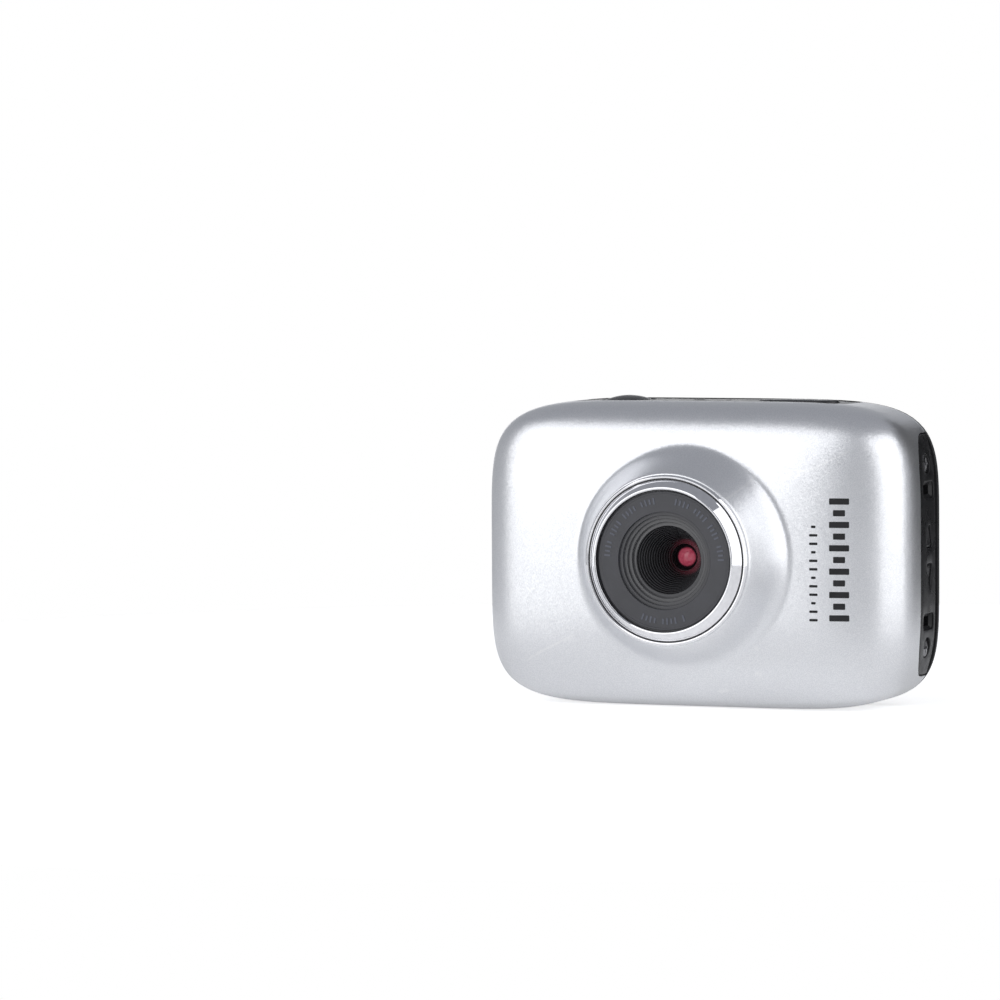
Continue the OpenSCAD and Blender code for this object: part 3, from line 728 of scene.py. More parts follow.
def side_screws(side, material):
    """Two cross-head screws on one side, with domed heads."""
    top = SCREW_SEAT + SCREW_HEAD
    crown = 0.16
    arm, half = 0.8, 0.17
    shank_r, tip_r = 0.7, 0.5
    tip = SCREW_SEAT - 4.4
    shank = [(0, SCREW_SEAT), (shank_r, SCREW_SEAT), (shank_r, tip + shank_r - tip_r), (tip_r, tip), (0, tip)]
    quarter = [(arm, -half), (arm, half), (half, half)]
    turns = [(math.cos(w), math.sin(w)) for w in (0, QUARTER, math.pi, -QUARTER)]
    solid = Solid()
    for z in (-SCREW_Z, SCREW_Z):
        def surface(u, v, depth=0.0):
            dome = crown * ((u - z) ** 2 + (v - SCREW_Y) ** 2) / SCREW_R ** 2
            return np.stack([side * (top - dome * max(0, 1 - depth / SCREW_HEAD) - depth), v, MID_Z + u], 1)

        cross = [(z + a * c - b * s, SCREW_Y + a * s + b * c) for c, s in turns for a, b in quarter]
        recess = (fillet(cross, 0.06, 2), [(-0.04, 0), (0, 0.04), (0.04, 0.36)], [])
        head = round_over(0.15) + [(0, SCREW_HEAD)]
        plate(circle(z, SCREW_Y, SCREW_R, 48), head, [recess], surface, 0.5, solid)
        turned(shank, about_x(side, SCREW_Y, z), 24, False, solid)
    node = "right_panel_screws" if side > 0 else "left_panel_screws"
    return solid.make(node + "_cross_head", material, replaces=[node], slot="dark_screw", sharp=35)


# ---- Lens ----

GROOVE_R = TRIM_R - 0.62
GROOVE_HALF = 0.1
CONE_DEPTH = 2.0
CONE_STEPS = 15
CONE_PITCH = (BEZEL_BACK - 0.7 - BEZEL_Y - CONE_DEPTH) / CONE_STEPS


def trim_ring(material):
    """A rolled outer lip, a groove, a slope up to the crest, and a sleeve down into the case."""
    inner_r = BEZEL_R + 0.05
    sleeve_r = HOLE_R - 0.1
    sleeve_end = BOSS_Y + 1.8
    lip_y, floor_y = BOSS_Y - 0.5, BOSS_Y - 0.1
    outside, inside_r = GROOVE_R + GROOVE_HALF, GROOVE_R - GROOVE_HALF
    corners = [
        (TRIM_R, BOSS_Y), (TRIM_R - 0.05, BOSS_Y - 0.35), (TRIM_R - 0.3, BOSS_Y - 0.55),
        (outside + 0.02, lip_y), (outside, floor_y), (inside_r, floor_y), (inside_r - 0.02, lip_y),
        (TRIM_R - 0.9, BOSS_Y - 0.62), (sleeve_r + 0.15, FRONT_Y + 0.06), (sleeve_r, FRONT_Y),
        (inner_r, FRONT_Y + 0.1), (inner_r, sleeve_end), (sleeve_r, sleeve_end), (sleeve_r, BOSS_Y),
    ]
    solid = turned(fillet(corners, 0.07, 4), about_y(0, MID_Z), 256)
    return solid.make("lens_trim_ring_turned", material, "case", ["lens_trim_ring"], "chrome_trim", 60)


def trim_groove_painted_shade(material):
    """A black ring set in the groove of the chrome ring: painted shade, a dark line where the groove lies in
    shade.
    """
    half = GROOVE_HALF - 0.01
    front, rear = BOSS_Y - 0.36, BOSS_Y - 0.12
    outer_r, inner_r = GROOVE_R + half, GROOVE_R - half
    corners = [(outer_r, front), (inner_r, front), (inner_r, rear), (outer_r, rear)]
    return turned(corners, about_y(0, MID_Z), 256).make("lens_trim_groove_painted_shade", material, slot="black_plastic")


def bezel(material):
    """A flat rim, four steps, and a cone of finer steps down to the lens."""
    step_r, step = 6.9, 0.5
    cone_r, cone_y = 5.0, BEZEL_Y + CONE_DEPTH
    throat_r = 1.9
    throat_y = cone_y + CONE_STEPS * CONE_PITCH
    skirt_r = BEZEL_R - 1
    corners = [
        (BEZEL_R, BEZEL_Y + 0.4), (BEZEL_R - 0.18, BEZEL_Y + 0.4), (BEZEL_R - 0.22, BEZEL_Y + 0.06),
        (BEZEL_R - 0.28, BEZEL_Y), (BEZEL_R - 0.5, BEZEL_Y), (BEZEL_R - 0.56, BEZEL_Y + 0.05),
    ]
    for i in range(4):
        r, y = step_r - i * step, BEZEL_Y + 0.05 + i * step
        corners += [(r + 0.06, y), (r, y + 0.06), (r, y + step)]
    for i in range(CONE_STEPS):
        r = cone_r + (throat_r - cone_r) * (i + 1) / CONE_STEPS
        y = cone_y + CONE_PITCH * i
        corners += [(r + 0.1, y), (r, y + 0.14)]
    corners += [
        (throat_r, throat_y), (throat_r, BEZEL_BACK), (throat_r + 1.3, BEZEL_BACK),
        (cone_r + 1.4, cone_y + 0.5), (skirt_r, cone_y + 0.5), (skirt_r, cone_y + 1.3),
        (BEZEL_R, cone_y + 1.3),
    ]
    solid = turned(corners, about_y(0, MID_Z), 192)
    return solid.make("lens_bezel_turned", material, "case", ["lens_bezel"], "black_bezel", 28)


def bezel_scale(material):
    """A generic printed scale on the bezel: short dashes in three arcs, with every fifth left out."""
    solid = Solid()
    r, tall, wide = 8.55, 0.95, 0.26
    pitch = 4.2
    signs = ((1, 1), (-1, 1), (-1, -1), (1, -1))
    arcs = ((100, 20), (2, 20), (248, 11))
    for degrees, k in [(start + pitch * k, k) for start, count in arcs for k in range(count) if k % 5 < 4]:
        angle = math.radians(degrees)
        length = tall * (0.8 if k % 2 else 1)
        out = np.array([math.cos(angle), math.sin(angle)])
        along = np.array([-out[1], out[0]])
        corners = [(0, MID_Z) + out * (r + i * length / 2) + along * j * wide / 2 for i, j in signs]
        plate(fillet(corners, 0.08, 3), straight(0.06), [], flat_y(BEZEL_Y - PROUD), 2, solid)
    return solid.make("lens_bezel_scale", material, slot="black_bezel")


def front_lens(material):
    low, high = span("front_lens")
    r, top, rear = high[0], low[1], high[1]
    curve = 2.6
    dome = [(q, top + curve - math.sqrt(curve ** 2 - q ** 2)) for q in np.linspace(0, r - 0.06, 20)]
    profile = [*dome, (r, dome[-1][1] + 0.1), (r, rear), (0, rear)]
    solid = turned(profile, about_y(0, MID_Z), 96, closed=False)
    return solid.make("front_lens_dome", material, replaces=["front_lens"], slot="coated_glass")


# ---- Buttons, window and light ----

def stem(solid, node, top):
    """The short post under a top button, down to its switch."""
    low, _ = span(node)
    x, y, _ = middle(node)
    r = 1.2
    turned([(0, top), (r, top), (r, low[2]), (0, low[2])], about_z(x, y), 32, False, solid)


def shutter_button(material):
    low, high = span("shutter_button")
    x, y, _ = middle("shutter_button")
    flange, flange_t = 0.6, 0.7
    r = (high[0] - low[0]) / 2 - flange
    rise = 0.9
    curve = (r ** 2 + rise ** 2) / (2 * rise)
    dome = [(q, high[2] - curve + math.sqrt(curve ** 2 - q ** 2)) for q in np.linspace(0, r, 26)]
    under = TOP_IN - 0.3
    corners = [*dome, (r, under), (r + flange, under), (r + flange, under - flange_t), (0, under - flange_t)]
    solid = turned(fillet(corners, 0.16, 4, closed=False), about_z(x, y), 128, closed=False)
    stem(solid, "shutter_button", under - flange_t)
    return solid.make("shutter_button_cap", material, "shutter", ["shutter_button"], "button_plastic", 50)


def power_surface(x, y, depth=0.0):
    """The power button's slightly crowned top."""
    _, high = span("power_button")
    at_x, at_y, _ = middle("power_button")
    long, wide = power_size()
    fall = 0.11 * (((x - at_x) * 2 / long) ** 2 + ((y - at_y) * 2 / wide) ** 2)
    return np.stack([x, y, high[2] - fall * max(0, 1 - depth / 1.5) - depth], 1)


def power_button(material):
    _, high = span("power_button")
    x, y, _ = middle("power_button")
    long, wide = power_size()
    flange_t = 0.7
    under = TOP_IN - 0.4
    wall = round_over(0.35, 5) + [(0, high[2] - under)]
    solid = plate(stadium(x, y, long, wide), wall, [], power_surface, 0.6)
    flange = stadium(x, y, long + POWER_FLANGE, wide + POWER_FLANGE)
    plate(flange, straight(flange_t), [], flat_z(under), 2, solid)
    stem(solid, "power_button", under - flange_t)
    return solid.make("power_button_cap", material, "power", ["power_button"], "button_plastic")


def power_mark(material):
    """The usual broken circle and bar, as a thin print."""
    x, y, _ = middle("power_button")
    outer_r, inner_r = 1.15, 0.93
    turn = np.linspace(math.radians(125), math.radians(415), 40)
    outer = [(x + outer_r * math.cos(w), y + outer_r * math.sin(w)) for w in turn]
    inner = [(x + inner_r * math.cos(w), y + inner_r * math.sin(w)) for w in turn[::-1]]
    bar = rounded_box(x, y + 0.95, 0.24, 1.3, 0.1, 3)
    solid = Solid()
    for loop in (np.array(outer + inner), bar):
        plate(loop, straight(0.05), [], lambda u, v, d=0.0: power_surface(u, v, d - PROUD), 1, solid)
    return solid.make("power_button_mark", material, "power", slot="button_plastic")


def arrow_key(node, point, material):
    """A key that points up (1) or down (-1), with a dish for the finger, a flange and a stem."""
    _, high = span(node)
    _, y, z = middle(node)
    top = high[0]
    flange_x = SIDE_IN - 0.5
    flange_t = 0.4

    def surface(s, v, depth=0.0):
        dish = 0.1 * np.exp(-((s + MID_Z - z) ** 2 + (v - y) ** 2) / 0.9)
        return np.stack([top - dish * max(0, 1 - depth) - depth, v, MID_Z + s], 1)

    solid = plate(arrow_outline(node, point), round_over(0.22, 5) + [(0, top - flange_x)], [], surface, 0.3)
    plate(arrow_outline(node, point, 0.4), straight(flange_t), [], flat_x(flange_x + flange_t), 1, solid)
    plate(circle(z - MID_Z, y, 0.8, 24), straight(0.35), [], flat_x(flange_x), 1, solid)
    return solid.make(node + "_cap", material, node.replace("_key", ""), [node], "button_plastic")


DISH = 0.16    # depth of the dish in a back button


def back_button(node, material):
    low, high = span(node)
    x, _, z = middle(node)
    flange, flange_t = 0.5, 0.7
    r = (high[0] - low[0]) / 2 - flange
    rim = 0.5
    rear, front = high[1], low[1]
    step = front + flange_t
    dish = [(q, rear - DISH + DISH * (q / (r - rim)) ** 2) for q in np.linspace(0, r - rim, 14)]
    corners = [*dish, (r, rear), (r, step), (r + flange, step), (r + flange, front), (0, front)]
    solid = turned(fillet(corners, 0.18, 5, closed=False), about_y(x, z), 96, closed=False)
    return solid.make(node + "_cap", material, node.replace("_button", ""), [node], "button_plastic", 50)


def back_button_mark(node, loops, material):
    """A small generic sign that lies on a back button's dish."""
    low, high = span(node)
    x, _, z = middle(node)
    r = (high[0] - low[0]) / 2 - 1.0

    def surface(u, v, depth=0.0):
        dish = DISH * (1 - ((u - x) ** 2 + (v - z) ** 2) / r ** 2)
        return np.stack([u, high[1] - dish + PROUD - depth, v], 1)

    solid = Solid()
    for loop in loops:
        plate(loop + (x, z), straight(0.05), [], surface, 0.4, solid)
    return solid.make(node + "_mark", material, node.replace("_button", ""), slot="button_plastic")


def back_button_marks(material):
    bars = [rounded_box(0, h, 1.9, 0.26, 0.1, 3) for h in (-0.55, 0, 0.55)]
    squares = [rounded_box(0.47 * i, 0.47 * j, 0.62, 0.62, 0.1, 3) for i in (-1, 1) for j in (-1, 1)]
    triangle = fillet([(-0.85, 0), (0.6, 0.75), (0.6, -0.75)], 0.12, 4)
    for node, loops in zip(BACK_BUTTONS, (bars, squares, [triangle])):
        back_button_mark(node, loops, material)


def screen_window(material):
    width, thick, height = screen_hi - screen_lo
    loop = rounded_box(SCREEN_X, MID_Z, width, height, 1.4)
    solid = plate(loop, round_over(0.2, 4) + [(0, thick)], [], flat_rear(screen_hi[1]), 4)
    return solid.make("screen_window_glass", material, replaces=["screen_window"], slot="screen_glass")


def status_light(material):
    low, high = span("status_light")
    x, y, _ = middle("status_light")
    r = (high[0] - low[0]) / 2
    dome = [(q, high[2] - 0.12 * (q / r) ** 2) for q in np.linspace(0, r - 0.1, 8)]
    profile = [*dome, (r, high[2] - 0.2), (r, low[2]), (0, low[2])]
    solid = turned(profile, about_z(x, y), 48, closed=False)
    return solid.make("status_light_dome", material, replaces=["status_light"], slot="clear_glass")


def socket_tongue(material, gold):
    """The tongue inside the socket, with its row of contacts."""
    low, high = span("usb_port")
    z = MID_Z + USB_Z
    y = (low[1] + high[1]) / 2
    long, thick, deep = 5.0, 0.7, 4.4
    contact_w, contact_pitch = 0.36, 0.85
    tongue = rounded_box(0, 0, long, thick, 0.1, 3)
    solid = Solid()
    plate(tongue + (z - MID_Z, y), round_over(0.06) + [(0, deep)], [], flat_x(-low[0] - 0.7, -1), 3, solid)
    solid.make("usb_port_tongue", material, slot="black_plastic")
    contacts = Solid()
    for k in range(5):
        strip = rounded_box(z - MID_Z + (k - 2) * contact_pitch, y - 0.36, contact_w, 0.08, 0.02, 2)
        plate(strip, straight(4.0), [], flat_x(-low[0] - 0.85, -1), 3, contacts)
    contacts.make("usb_port_contacts", gold, slot="steel")


# ---- Print on the face ----

def face_print(material):
    """Two generic printed scales on the face, near its +X side: bold bars, and finer dashes beside them."""
    proud = 0.012
    spacing = 0.3

    def surface(x, z, depth=0.0):
        return to_case(x, front_depth(x, z) - proud + depth, z)

    bold_x, bold_top, bold_pitch, bold_wide, bold_tall = 23.15, 8.3, 1.65, 2.8, 0.88
    fine_x, fine_top, fine_pitch, fine_wide, fine_tall = 19.5, 4.7, 1.2, 1.2, 0.36
    bold = [(bold_x, bold_top - bold_pitch * k, bold_wide * (0.6 if k % 2 else 1), bold_tall)
            for k in range(11)]
    fine = [(fine_x, fine_top - fine_pitch * k, fine_wide * (1 if k % 3 else 0.55), fine_tall)
            for k in range(12)]
    solid = Solid()
    for x, z, wide, tall in bold + fine:
        bar = divided(rounded_box(x, z, wide, tall, 0.12, 3), spacing)
        plate(bar, straight(0.04), [], surface, spacing, solid)
    return solid.make("face_print", material, slot="black_plastic")


# ---- Materials ----

NOISE_RANGE = (0.3, 0.7)    # nearly all of Blender's noise lies between these


class Surface:
    """Builds a procedural material on the Principled shader."""

    def __init__(self, name, **sockets):
        self.material = bpy.data.materials.new(name)
        self.material.use_nodes = True
        self.tree = self.material.node_tree
        self.shader = self.tree.nodes["Principled BSDF"]
        for key, value in sockets.items():
            self.shader.inputs[key.replace("_", " ")].default_value = value
        self.where = self.node("ShaderNodeTexCoord").outputs["Object"]

    def node(self, kind, **settings):
        made = self.tree.nodes.new(kind)
        for key, value in settings.items():
            setattr(made, key, value)
        return made

    def link(self, source, target):
        self.tree.links.new(source, target)

    def noise(self, size, detail=3, stretch=(1, 1, 1)):
        """Soft noise with features of about a size in millimetres."""
        mapping = self.node("ShaderNodeMapping")
        mapping.inputs["Scale"].default_value = stretch
        self.link(self.where, mapping.inputs["Vector"])
        noise = self.node("ShaderNodeTexNoise")
        noise.inputs["Scale"].default_value = 1 / (size * MM)
        noise.inputs["Detail"].default_value = detail
        self.link(mapping.outputs[0], noise.inputs["Vector"])
        return noise.outputs["Fac"]

    def cells(self, size, output="Color"):
        """Cells of about a size in millimetres, each with its own colour."""
        cells = self.node("ShaderNodeTexVoronoi")
        cells.inputs["Scale"].default_value = 1 / (size * MM)
        self.link(self.where, cells.inputs["Vector"])
        return cells.outputs[output]

    def spread(self, value, low, high, start=0.0, end=1.0):
        """Maps a value from start..end to low..high."""
        spread = self.node("ShaderNodeMapRange")
        for key, number in (("From Min", start), ("From Max", end), ("To Min", low), ("To Max", high)):
            spread.inputs[key].default_value = number
        self.link(value, spread.inputs["Value"])
        return spread.outputs["Result"]

    def patches(self, size, low, high, detail=3, stretch=(1, 1, 1)):
        """A value or a colour that drifts between two, in patches of about a size in millimetres."""
        noise = self.noise(size, detail, stretch)
        if isinstance(low, tuple):
            return self.blend(self.spread(noise, 0, 1, *NOISE_RANGE), low, high)
        return self.spread(noise, low, high, *NOISE_RANGE)

    def wear_and_highlight_mask(self):
        """1 on convex edges, 0 elsewhere: marks worn edges, and the edges where the moulded plastics get a
        painted highlight.
        """
        return self.spread(self.node("ShaderNodeNewGeometry").outputs["Pointiness"], 0, 1, 0.52, 0.62)

    def blend(self, share, low, high):
        """A colour between two colours or sockets."""
        mix = self.node("ShaderNodeMix", data_type="RGBA")
        self.link(share, mix.inputs["Factor"])
        for key, colour in (("A", low), ("B", high)):
            socket = [s for s in mix.inputs if s.name == key and s.type == "RGBA"][0]
            if isinstance(colour, tuple):
                socket.default_value = (*colour, 1)
            else:
                self.link(colour, socket)
        return [s for s in mix.outputs if s.type == "RGBA"][0]

    def bump(self, height, distance, strength=1.0, normal=None):
        """Bump whose height is in millimetres."""
        bump = self.node("ShaderNodeBump")
        bump.inputs["Strength"].default_value = strength
        bump.inputs["Distance"].default_value = distance * MM
        self.link(height, bump.inputs["Height"])
        if normal:
            self.link(normal, bump.inputs["Normal"])
        return bump.outputs["Normal"]

    def flakes(self, size, tilt):
        """The normal, tilted a little at random in each cell."""
        centre = self.node("ShaderNodeVectorMath", operation="SUBTRACT")
        centre.inputs[1].default_value = (0.5, 0.5, 0.5)
        self.link(self.cells(size), centre.inputs[0])
        scale = self.node("ShaderNodeVectorMath", operation="SCALE")
        scale.inputs["Scale"].default_value = tilt
        self.link(centre.outputs[0], scale.inputs[0])
        add = self.node("ShaderNodeVectorMath", operation="ADD")
        self.link(self.node("ShaderNodeNewGeometry").outputs["Normal"], add.inputs[0])
        self.link(scale.outputs[0], add.inputs[1])
        unit_length = self.node("ShaderNodeVectorMath", operation="NORMALIZE")
        self.link(add.outputs[0], unit_length.inputs[0])
        return unit_length.outputs[0]

    def done(self, colour=None, roughness=None, normal=None):
        for key, value in (("Base Color", colour), ("Roughness", roughness), ("Normal", normal)):
            if value:
                self.link(value, self.shader.inputs[key])
        return self.material


def silver_paint():
    """Metallic lacquer: fine flakes under a thin clear coat."""
    s = Surface("silver_paint", Metallic=0.9, Coat_Weight=0.15, Coat_Roughness=0.2)
    flake_size = 0.13
    flake = s.cells(flake_size, "Distance")
    tint = s.blend(s.spread(flake, 0, 1, 0.1, 0.6), (0.87, 0.875, 0.89), (0.72, 0.73, 0.755))
    colour = s.blend(s.spread(s.wear_and_highlight_mask(), 0, 0.3), tint, (0.9, 0.9, 0.9))
    normal = s.bump(s.noise(0.25), 0.0006, 0.5, s.flakes(flake_size, 0.085))
    return s.done(colour, s.patches(6.0, 0.29, 0.33), normal)


def moulded(name, colour, lighter, roughness, grain=0.12, height=0.012, edge_wear_and_highlight=0.6, specular=0.5):
    """Moulded plastic with a fine grain, cloudy gloss and lighter edges that are partly rubbed and partly
    painted highlight.
    """
    s = Surface(name, Specular_IOR_Level=specular)
    # painted highlight: convex edges turn lighter, partly as wear and partly as a highlight along them
    edge_wear_and_highlight_colour = tuple(min(1, c * 2.5 + 0.03) for c in lighter)
    edges = s.blend(s.spread(s.wear_and_highlight_mask(), 0, edge_wear_and_highlight), s.patches(3.0, colour, lighter), edge_wear_and_highlight_colour)
    gloss = s.patches(1.3, roughness - 0.05, roughness + 0.05)
    return s.done(edges, gloss, s.bump(s.noise(grain, 2), height, 0.6))


def metal(name, colour, darker, roughness, stretch=(1, 1, 1), height=0.002):
    """Bare metal with fine brushed or polished variation."""
    s = Surface(name, Metallic=1.0)
    tint = s.patches(0.8, darker, colour, 4, stretch)
    gloss = s.patches(0.5, roughness * 0.7, roughness * 1.3, 3, stretch)
    return s.done(tint, gloss, s.bump(s.noise(0.1, 2, stretch), height, 0.5))


def lens_black_with_painted_light():
    """Black plastic with a matt bluish front; down the lens well it turns glossier, with painted shade that
    darkens it and painted highlights on the crests of its fine steps.
    """
    s = Surface("black_bezel", Specular_IOR_Level=0.7)
    split = s.node("ShaderNodeSeparateXYZ")
    s.link(s.where, split.inputs[0])
    depth = split.outputs["Y"]
    # painted shade: the colour darkens down the lens well, where shade falls
    deep = s.spread(depth, 0, 1, (BEZEL_Y + 0.1) * MM, (BEZEL_Y + 1.6) * MM)
    turns = s.node("ShaderNodeMath", operation="FRACT")
    first = (BEZEL_Y + CONE_DEPTH - 0.02) * MM
    s.link(s.spread(depth, 0, CONE_STEPS, first, first + CONE_STEPS * CONE_PITCH * MM), turns.inputs[0])
    # painted highlight: a lighter ring on the crest of each fine step in the cone
    crest = s.spread(turns.outputs[0], 1, 0, 0.26, 0.36)
    cone = s.blend(crest, (0.007, 0.007, 0.008), (0.06, 0.06, 0.064))
    front = s.patches(3.0, (0.023, 0.0235, 0.029), (0.031, 0.0315, 0.039))
    colour = s.blend(deep, front, cone)
    return s.done(colour, s.spread(deep, 0.42, 0.24), s.bump(s.noise(0.08), 0.004, 0.6))


def coated_glass():
    """A small dark lens whose red middle is painted light: a red colour with a faint emission that stands in
    for the light its coating reflects.
    """
    s = Surface("coated_glass", Roughness=0.08, Coat_Weight=0.2, Coat_Roughness=0.02, Emission_Strength=0.25)
    red_r, dark_r, ragged_by = 1.25, 1.5, 0.15
    flat = s.node("ShaderNodeVectorMath", operation="MULTIPLY_ADD")
    flat.inputs[1].default_value = (1, 0, 1)
    flat.inputs[2].default_value = (0, 0, -MID_Z * MM)
    s.link(s.where, flat.inputs[0])
    radius = s.node("ShaderNodeVectorMath", operation="LENGTH")
    s.link(flat.outputs[0], radius.inputs[0])
    ragged = s.node("ShaderNodeMath", operation="MULTIPLY_ADD")
    ragged.inputs[1].default_value = ragged_by * MM
    s.link(s.noise(0.5), ragged.inputs[0])
    s.link(radius.outputs["Value"], ragged.inputs[2])
    glow = s.spread(ragged.outputs[0], 1, 0, red_r * MM, dark_r * MM)
    red = s.patches(0.6, (0.50, 0.05, 0.10), (0.66, 0.12, 0.18))
    # painted light: the red middle, as base colour and as emission, stands in for the light the lens coating
    # reflects
    colour = s.blend(glow, (0.01, 0.006, 0.008), red)
    s.link(colour, s.shader.inputs["Emission Color"])
    return s.done(colour, None, s.bump(s.noise(0.4), 0.002, 0.3))


def clear(name, tint, roughness, transmission):
    """Clear plastic with a faint tint."""
    s = Surface(name, Transmission_Weight=transmission, IOR=1.5)
    colour = s.patches(0.6, tint, tuple(min(1, c * 1.1) for c in tint))
    gloss = s.patches(0.4, roughness, roughness + 0.05)
    return s.done(colour, gloss, s.bump(s.noise(0.3), 0.002, 0.3))


def screen_glass():
    """Dark glass with faint finger smears."""
    s = Surface("screen_glass", Specular_IOR_Level=0.6, Coat_Weight=0.6, Coat_Roughness=0.03)
    colour = s.patches(9.0, (0.006, 0.006, 0.009), (0.012, 0.012, 0.016))
    smear = s.spread(s.noise(4.0, 5, (1, 1, 0.4)), 0.05, 0.12, 0.35, 0.75)
    return s.done(colour, smear, s.bump(s.noise(5.0), 0.003, 0.2))


def circuit_board():
    """Green lacquer over a grid of tracks."""
    s = Surface("circuit_board", Coat_Weight=0.4, Coat_Roughness=0.15)
    tracks = s.node("ShaderNodeTexBrick")
    tracks.inputs["Scale"].default_value = 1 / (4 * MM)
    tracks.inputs["Mortar Size"].default_value = 0.03
    s.link(s.where, tracks.inputs["Vector"])
    colour = s.blend(tracks.outputs["Fac"], (0.015, 0.09, 0.045), (0.05, 0.22, 0.11))
    return s.done(colour, s.patches(0.8, 0.3, 0.45), s.bump(tracks.outputs["Fac"], 0.03, 0.6))


def battery_wrap():
    """Blue film, slightly crumpled."""
    s = Surface("battery_wrap")
    crumple = s.noise(3.0, 5)
    colour = s.blend(s.spread(crumple, 0, 1, *NOISE_RANGE), (0.035, 0.09, 0.24), (0.06, 0.14, 0.33))
    return s.done(colour, s.patches(1.0, 0.3, 0.4), s.bump(crumple, 0.12, 0.5))


def foam():
    """Black foam with fine pores."""
    s = Surface("foam")
    pores = s.cells(0.5, "Distance")
    colour = s.blend(s.spread(pores, 0, 1, 0.1, 0.7), (0.012, 0.012, 0.012), (0.04, 0.04, 0.04))
    return s.done(colour, s.spread(pores, 0.8, 0.95), s.bump(pores, 0.1, 0.8))


BLACK = moulded("black_plastic", (0.008, 0.008, 0.009), (0.014, 0.014, 0.015), 0.3,
                height=0.003, specular=0.25)
BUTTON = moulded("button_plastic", (0.015, 0.015, 0.016), (0.026, 0.026, 0.028), 0.28,
                 grain=0.15, height=0.006)
SCREW = metal("dark_screw", (0.32, 0.32, 0.33), (0.2, 0.2, 0.21), 0.3)
MATERIALS = {
    "silver_paint": silver_paint(),
    "black_plastic": BLACK,
    "black_bezel": lens_black_with_painted_light(),
    "button_plastic": BUTTON,
    "chrome_trim": metal("chrome_trim", (0.86, 0.86, 0.88), (0.78, 0.78, 0.80), 0.06, height=0.0006),
    "coated_glass": coated_glass(),
    "clear_glass": clear("clear_glass", (0.85, 0.92, 0.95), 0.04, 0.9),
    "screen_glass": screen_glass(),
    "screen_panel": moulded("screen_panel", (0.02, 0.02, 0.025), (0.035, 0.035, 0.045), 0.25),
    "circuit_board": circuit_board(),
    "chip": moulded("chip", (0.02, 0.02, 0.022), (0.035, 0.035, 0.037), 0.5, 0.08),
    "steel": metal("steel", (0.62, 0.62, 0.64), (0.5, 0.5, 0.52), 0.28, (1, 1, 8)),
    "dark_screw": SCREW,
    "battery_wrap": battery_wrap(),
    "foam": foam(),
    "ivory_plastic": moulded("ivory_plastic", (0.62, 0.58, 0.46), (0.7, 0.66, 0.54), 0.4),
    "lead_wire": moulded("lead_wire", (0.35, 0.02, 0.02), (0.5, 0.03, 0.03), 0.4, 0.3),
}
INK = {"roughness": 0.5, "grain": 0.1, "height": 0.003}
PRINT = moulded("face_ink", (0.01, 0.01, 0.011), (0.016, 0.016, 0.018), edge_wear_and_highlight=0, specular=0.3, **INK)
PALE_PRINT = moulded("scale_ink", (0.08, 0.086, 0.108), (0.095, 0.1, 0.125), edge_wear_and_highlight=0, **INK)
MARK_PRINT = moulded("mark_ink", (0.45, 0.45, 0.46), (0.55, 0.55, 0.56), **INK)
GOLD = metal("contact_gold", (0.85, 0.62, 0.28), (0.7, 0.5, 0.2), 0.25)


# ---- Pieces ----

front_shell(MATERIALS["silver_paint"])
for build in (back_shell, top_panel, right_panel, left_panel, port_door):
    build(BLACK)
for side in (1, -1):
    side_screws(side, SCREW)
trim_ring(MATERIALS["chrome_trim"])
# painted shade: a black ring in the trim ring's groove
trim_groove_painted_shade(BLACK)
bezel(MATERIALS["black_bezel"])
bezel_scale(PALE_PRINT)
front_lens(MATERIALS["coated_glass"])
shutter_button(BUTTON)
power_button(BUTTON)
power_mark(MARK_PRINT)
for node, point in ARROW_KEYS:
    arrow_key(node, point, BUTTON)
for node in BACK_BUTTONS:
    back_button(node, BUTTON)
back_button_marks(MARK_PRINT)
screen_window(MATERIALS["screen_glass"])
status_light(MATERIALS["clear_glass"])
socket_tongue(BLACK, GOLD)
face_print(PRINT)


def dress_cad_nodes():
    """Soft edges and materials for the CAD nodes that stay: the parts inside the case."""
    soft_edge = 0.08
    weld_metres = 1e-6
    for part in frame["record"]["subparts"]:
        piece = frame["nodes"][part["node"]]
        if not piece.hide_render:
            piece.data.materials.clear()
            piece.data.materials.append(MATERIALS[part["material_slot"]])
            piece.modifiers.new("Weld", "WELD").merge_threshold = weld_metres
            bevel = piece.modifiers.new("Bevel", "BEVEL")
            bevel.width = soft_edge * MM
            bevel.segments = 2
            bevel.angle_limit = math.radians(40)
            bevel.harden_normals = True


dress_cad_nodes()


# ---- Studio ----

def direction(azimuth, elevation):
    """Unit vector towards a place round the object: azimuth 0 is in front of the lens, 90 is the +X side."""
    a, e = math.radians(azimuth), math.radians(elevation)
    return Vector((math.sin(a) * math.cos(e), -math.cos(a) * math.cos(e), math.sin(e)))


CENTRE = Vector((0, 0, MID_Z * MM))


def softbox(name, azimuth, elevation, distance, width, height, radiance):
    """A soft white panel that looks at the object; distance, width and height are in metres."""
    light = bpy.data.lights.new(name, "AREA")
    light.shape = "RECTANGLE"
    light.size = width
    light.size_y = height
    light.energy = radiance * math.pi * width * height
    lamp = new_object(name, light)
    lamp.location = CENTRE + direction(azimuth, elevation) * distance
    lamp.rotation_euler = (CENTRE - lamp.location).to_track_quat("-Z", "Y").to_euler()
    lamp.visible_camera = False


def flag(name, azimuth, elevation, distance, width, height):
    """A black card that keeps light off one side."""
    toward = direction(azimuth, elevation)
    turn = toward.to_track_quat("Z", "Y")
    signs = ((-1, -1), (1, -1), (1, 1), (-1, 1))
    corners = [Vector((i * width / 2, j * height / 2, 0)) for i, j in signs]
    mesh = bpy.data.meshes.new(name)
    mesh.from_pydata([CENTRE + toward * distance + turn @ c for c in corners], [], [(0, 1, 2, 3)])
    mesh.materials.append(Surface(name, Base_Color=(0.01, 0.01, 0.01, 1), Roughness=0.9).material)
    new_object(name, mesh)


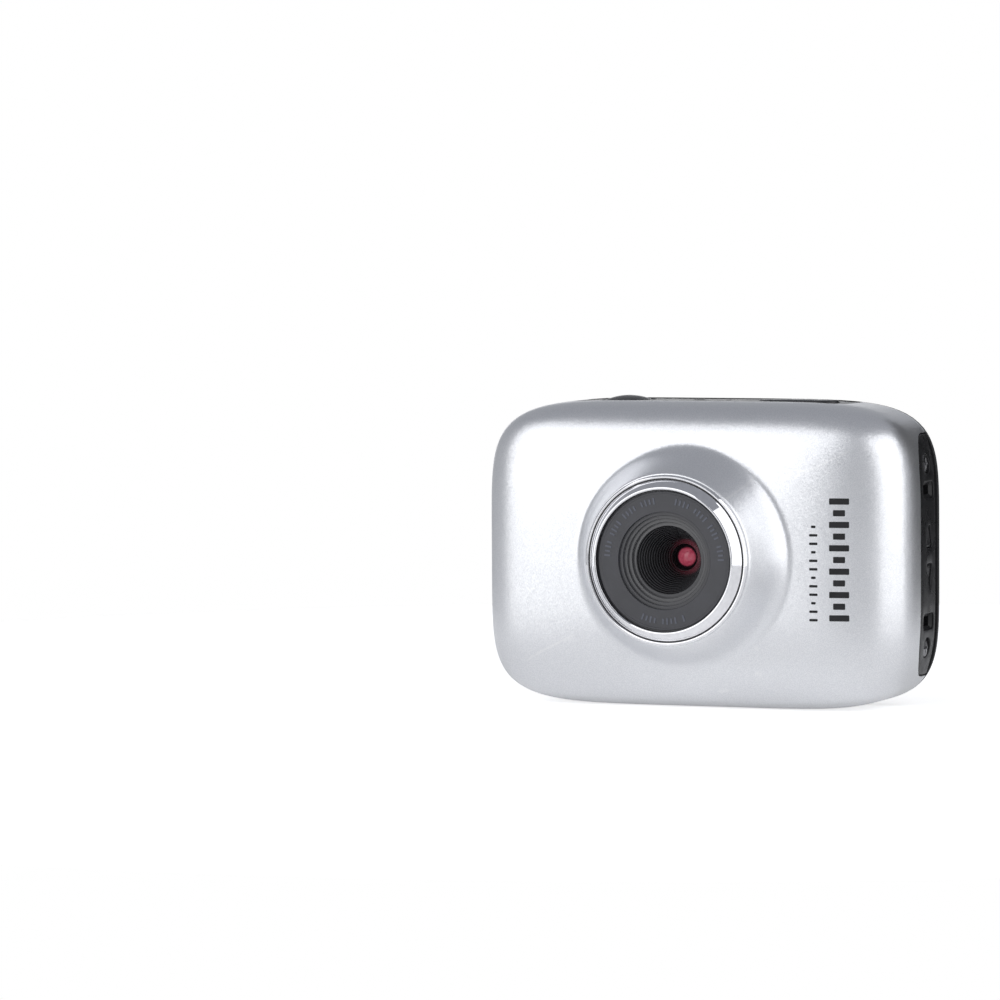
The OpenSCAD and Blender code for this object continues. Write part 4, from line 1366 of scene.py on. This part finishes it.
def floor():
    """A plain white round table top."""
    floor_r = 0.2
    mesh = bpy.data.meshes.new("studio_floor")
    bm = bmesh.new()
    bmesh.ops.create_circle(bm, cap_ends=True, radius=floor_r, segments=128)
    bm.to_mesh(mesh)
    bm.free()
    sheet = Surface("studio_sheet", Specular_IOR_Level=0.1, Emission_Color=(1, 1, 1, 1))
    tone = sheet.patches(60, (0.9, 0.9, 0.9), (0.92, 0.92, 0.92))
    path = sheet.node("ShaderNodeLightPath")
    glow = sheet.spread(path.outputs["Is Camera Ray"], 0.18, 0.6)
    sheet.link(glow, sheet.shader.inputs["Emission Strength"])
    mesh.materials.append(sheet.done(tone, sheet.spread(sheet.noise(20), 0.7, 0.8)))
    new_object("studio_floor", mesh)


def world():
    """A soft grey dome, lighter towards the horizon and white where the camera looks past the floor."""
    dome = bpy.data.worlds.new("studio")
    bpy.context.scene.world = dome
    dome.use_nodes = True
    tree = dome.node_tree
    out = tree.nodes["Background"]
    coordinates = tree.nodes.new("ShaderNodeTexCoord")
    split = tree.nodes.new("ShaderNodeSeparateXYZ")
    tree.links.new(coordinates.outputs["Generated"], split.inputs[0])
    ramp = tree.nodes.new("ShaderNodeValToRGB")
    stops = ((0.0, (0.42, 0.43, 0.45, 1)), (0.8, (0.30, 0.31, 0.34, 1)))
    for element, (position, colour) in zip(ramp.color_ramp.elements, stops):
        element.position = position
        element.color = colour
    tree.links.new(split.outputs["Z"], ramp.inputs[0])
    path = tree.nodes.new("ShaderNodeLightPath")
    mix = tree.nodes.new("ShaderNodeMix")
    mix.data_type = "RGBA"
    colours = [s for s in mix.inputs if s.type == "RGBA"]
    tree.links.new(path.outputs["Is Camera Ray"], mix.inputs["Factor"])
    tree.links.new(ramp.outputs["Color"], colours[0])
    colours[1].default_value = (1, 1, 1, 1)
    tree.links.new([s for s in mix.outputs if s.type == "RGBA"][0], out.inputs["Color"])


def camera(azimuth, elevation, roll, distance, lens, right, up):
    """The camera, aimed so that the object's centre lies to the right of and below the picture's centre."""
    toward = direction(azimuth, elevation)
    data = bpy.data.cameras.new("camera")
    data.lens = lens
    data.clip_start = 0.01
    rig = new_object("camera", data)
    turn = toward.to_track_quat("Z", "Y")
    across = turn @ Vector((1, 0, 0))
    upward = turn @ Vector((0, 1, 0))
    rig.location = CENTRE + toward * distance - across * right * MM + upward * up * MM
    turn.rotate(Quaternion(toward, math.radians(roll)))
    rig.rotation_mode = "QUATERNION"
    rig.rotation_quaternion = turn
    bpy.context.scene.camera = rig


floor()
world()
softbox("key", azimuth=-38, elevation=22.5, distance=1.5, width=1.9, height=2.06, radiance=1.24)
softbox("strip", azimuth=74, elevation=22, distance=1.4, width=1.95, height=1.8, radiance=1.25)
flag("dark_card", azimuth=152, elevation=10, distance=1.1, width=0.9, height=1.2)
softbox("backdrop", azimuth=201, elevation=5, distance=1.5, width=0.9, height=0.35, radiance=0.9)
camera(azimuth=21.9, elevation=3.2, roll=-0.3, distance=0.796, lens=200, right=28.2, up=8)
bpy.context.scene.view_settings.view_transform = "Standard"
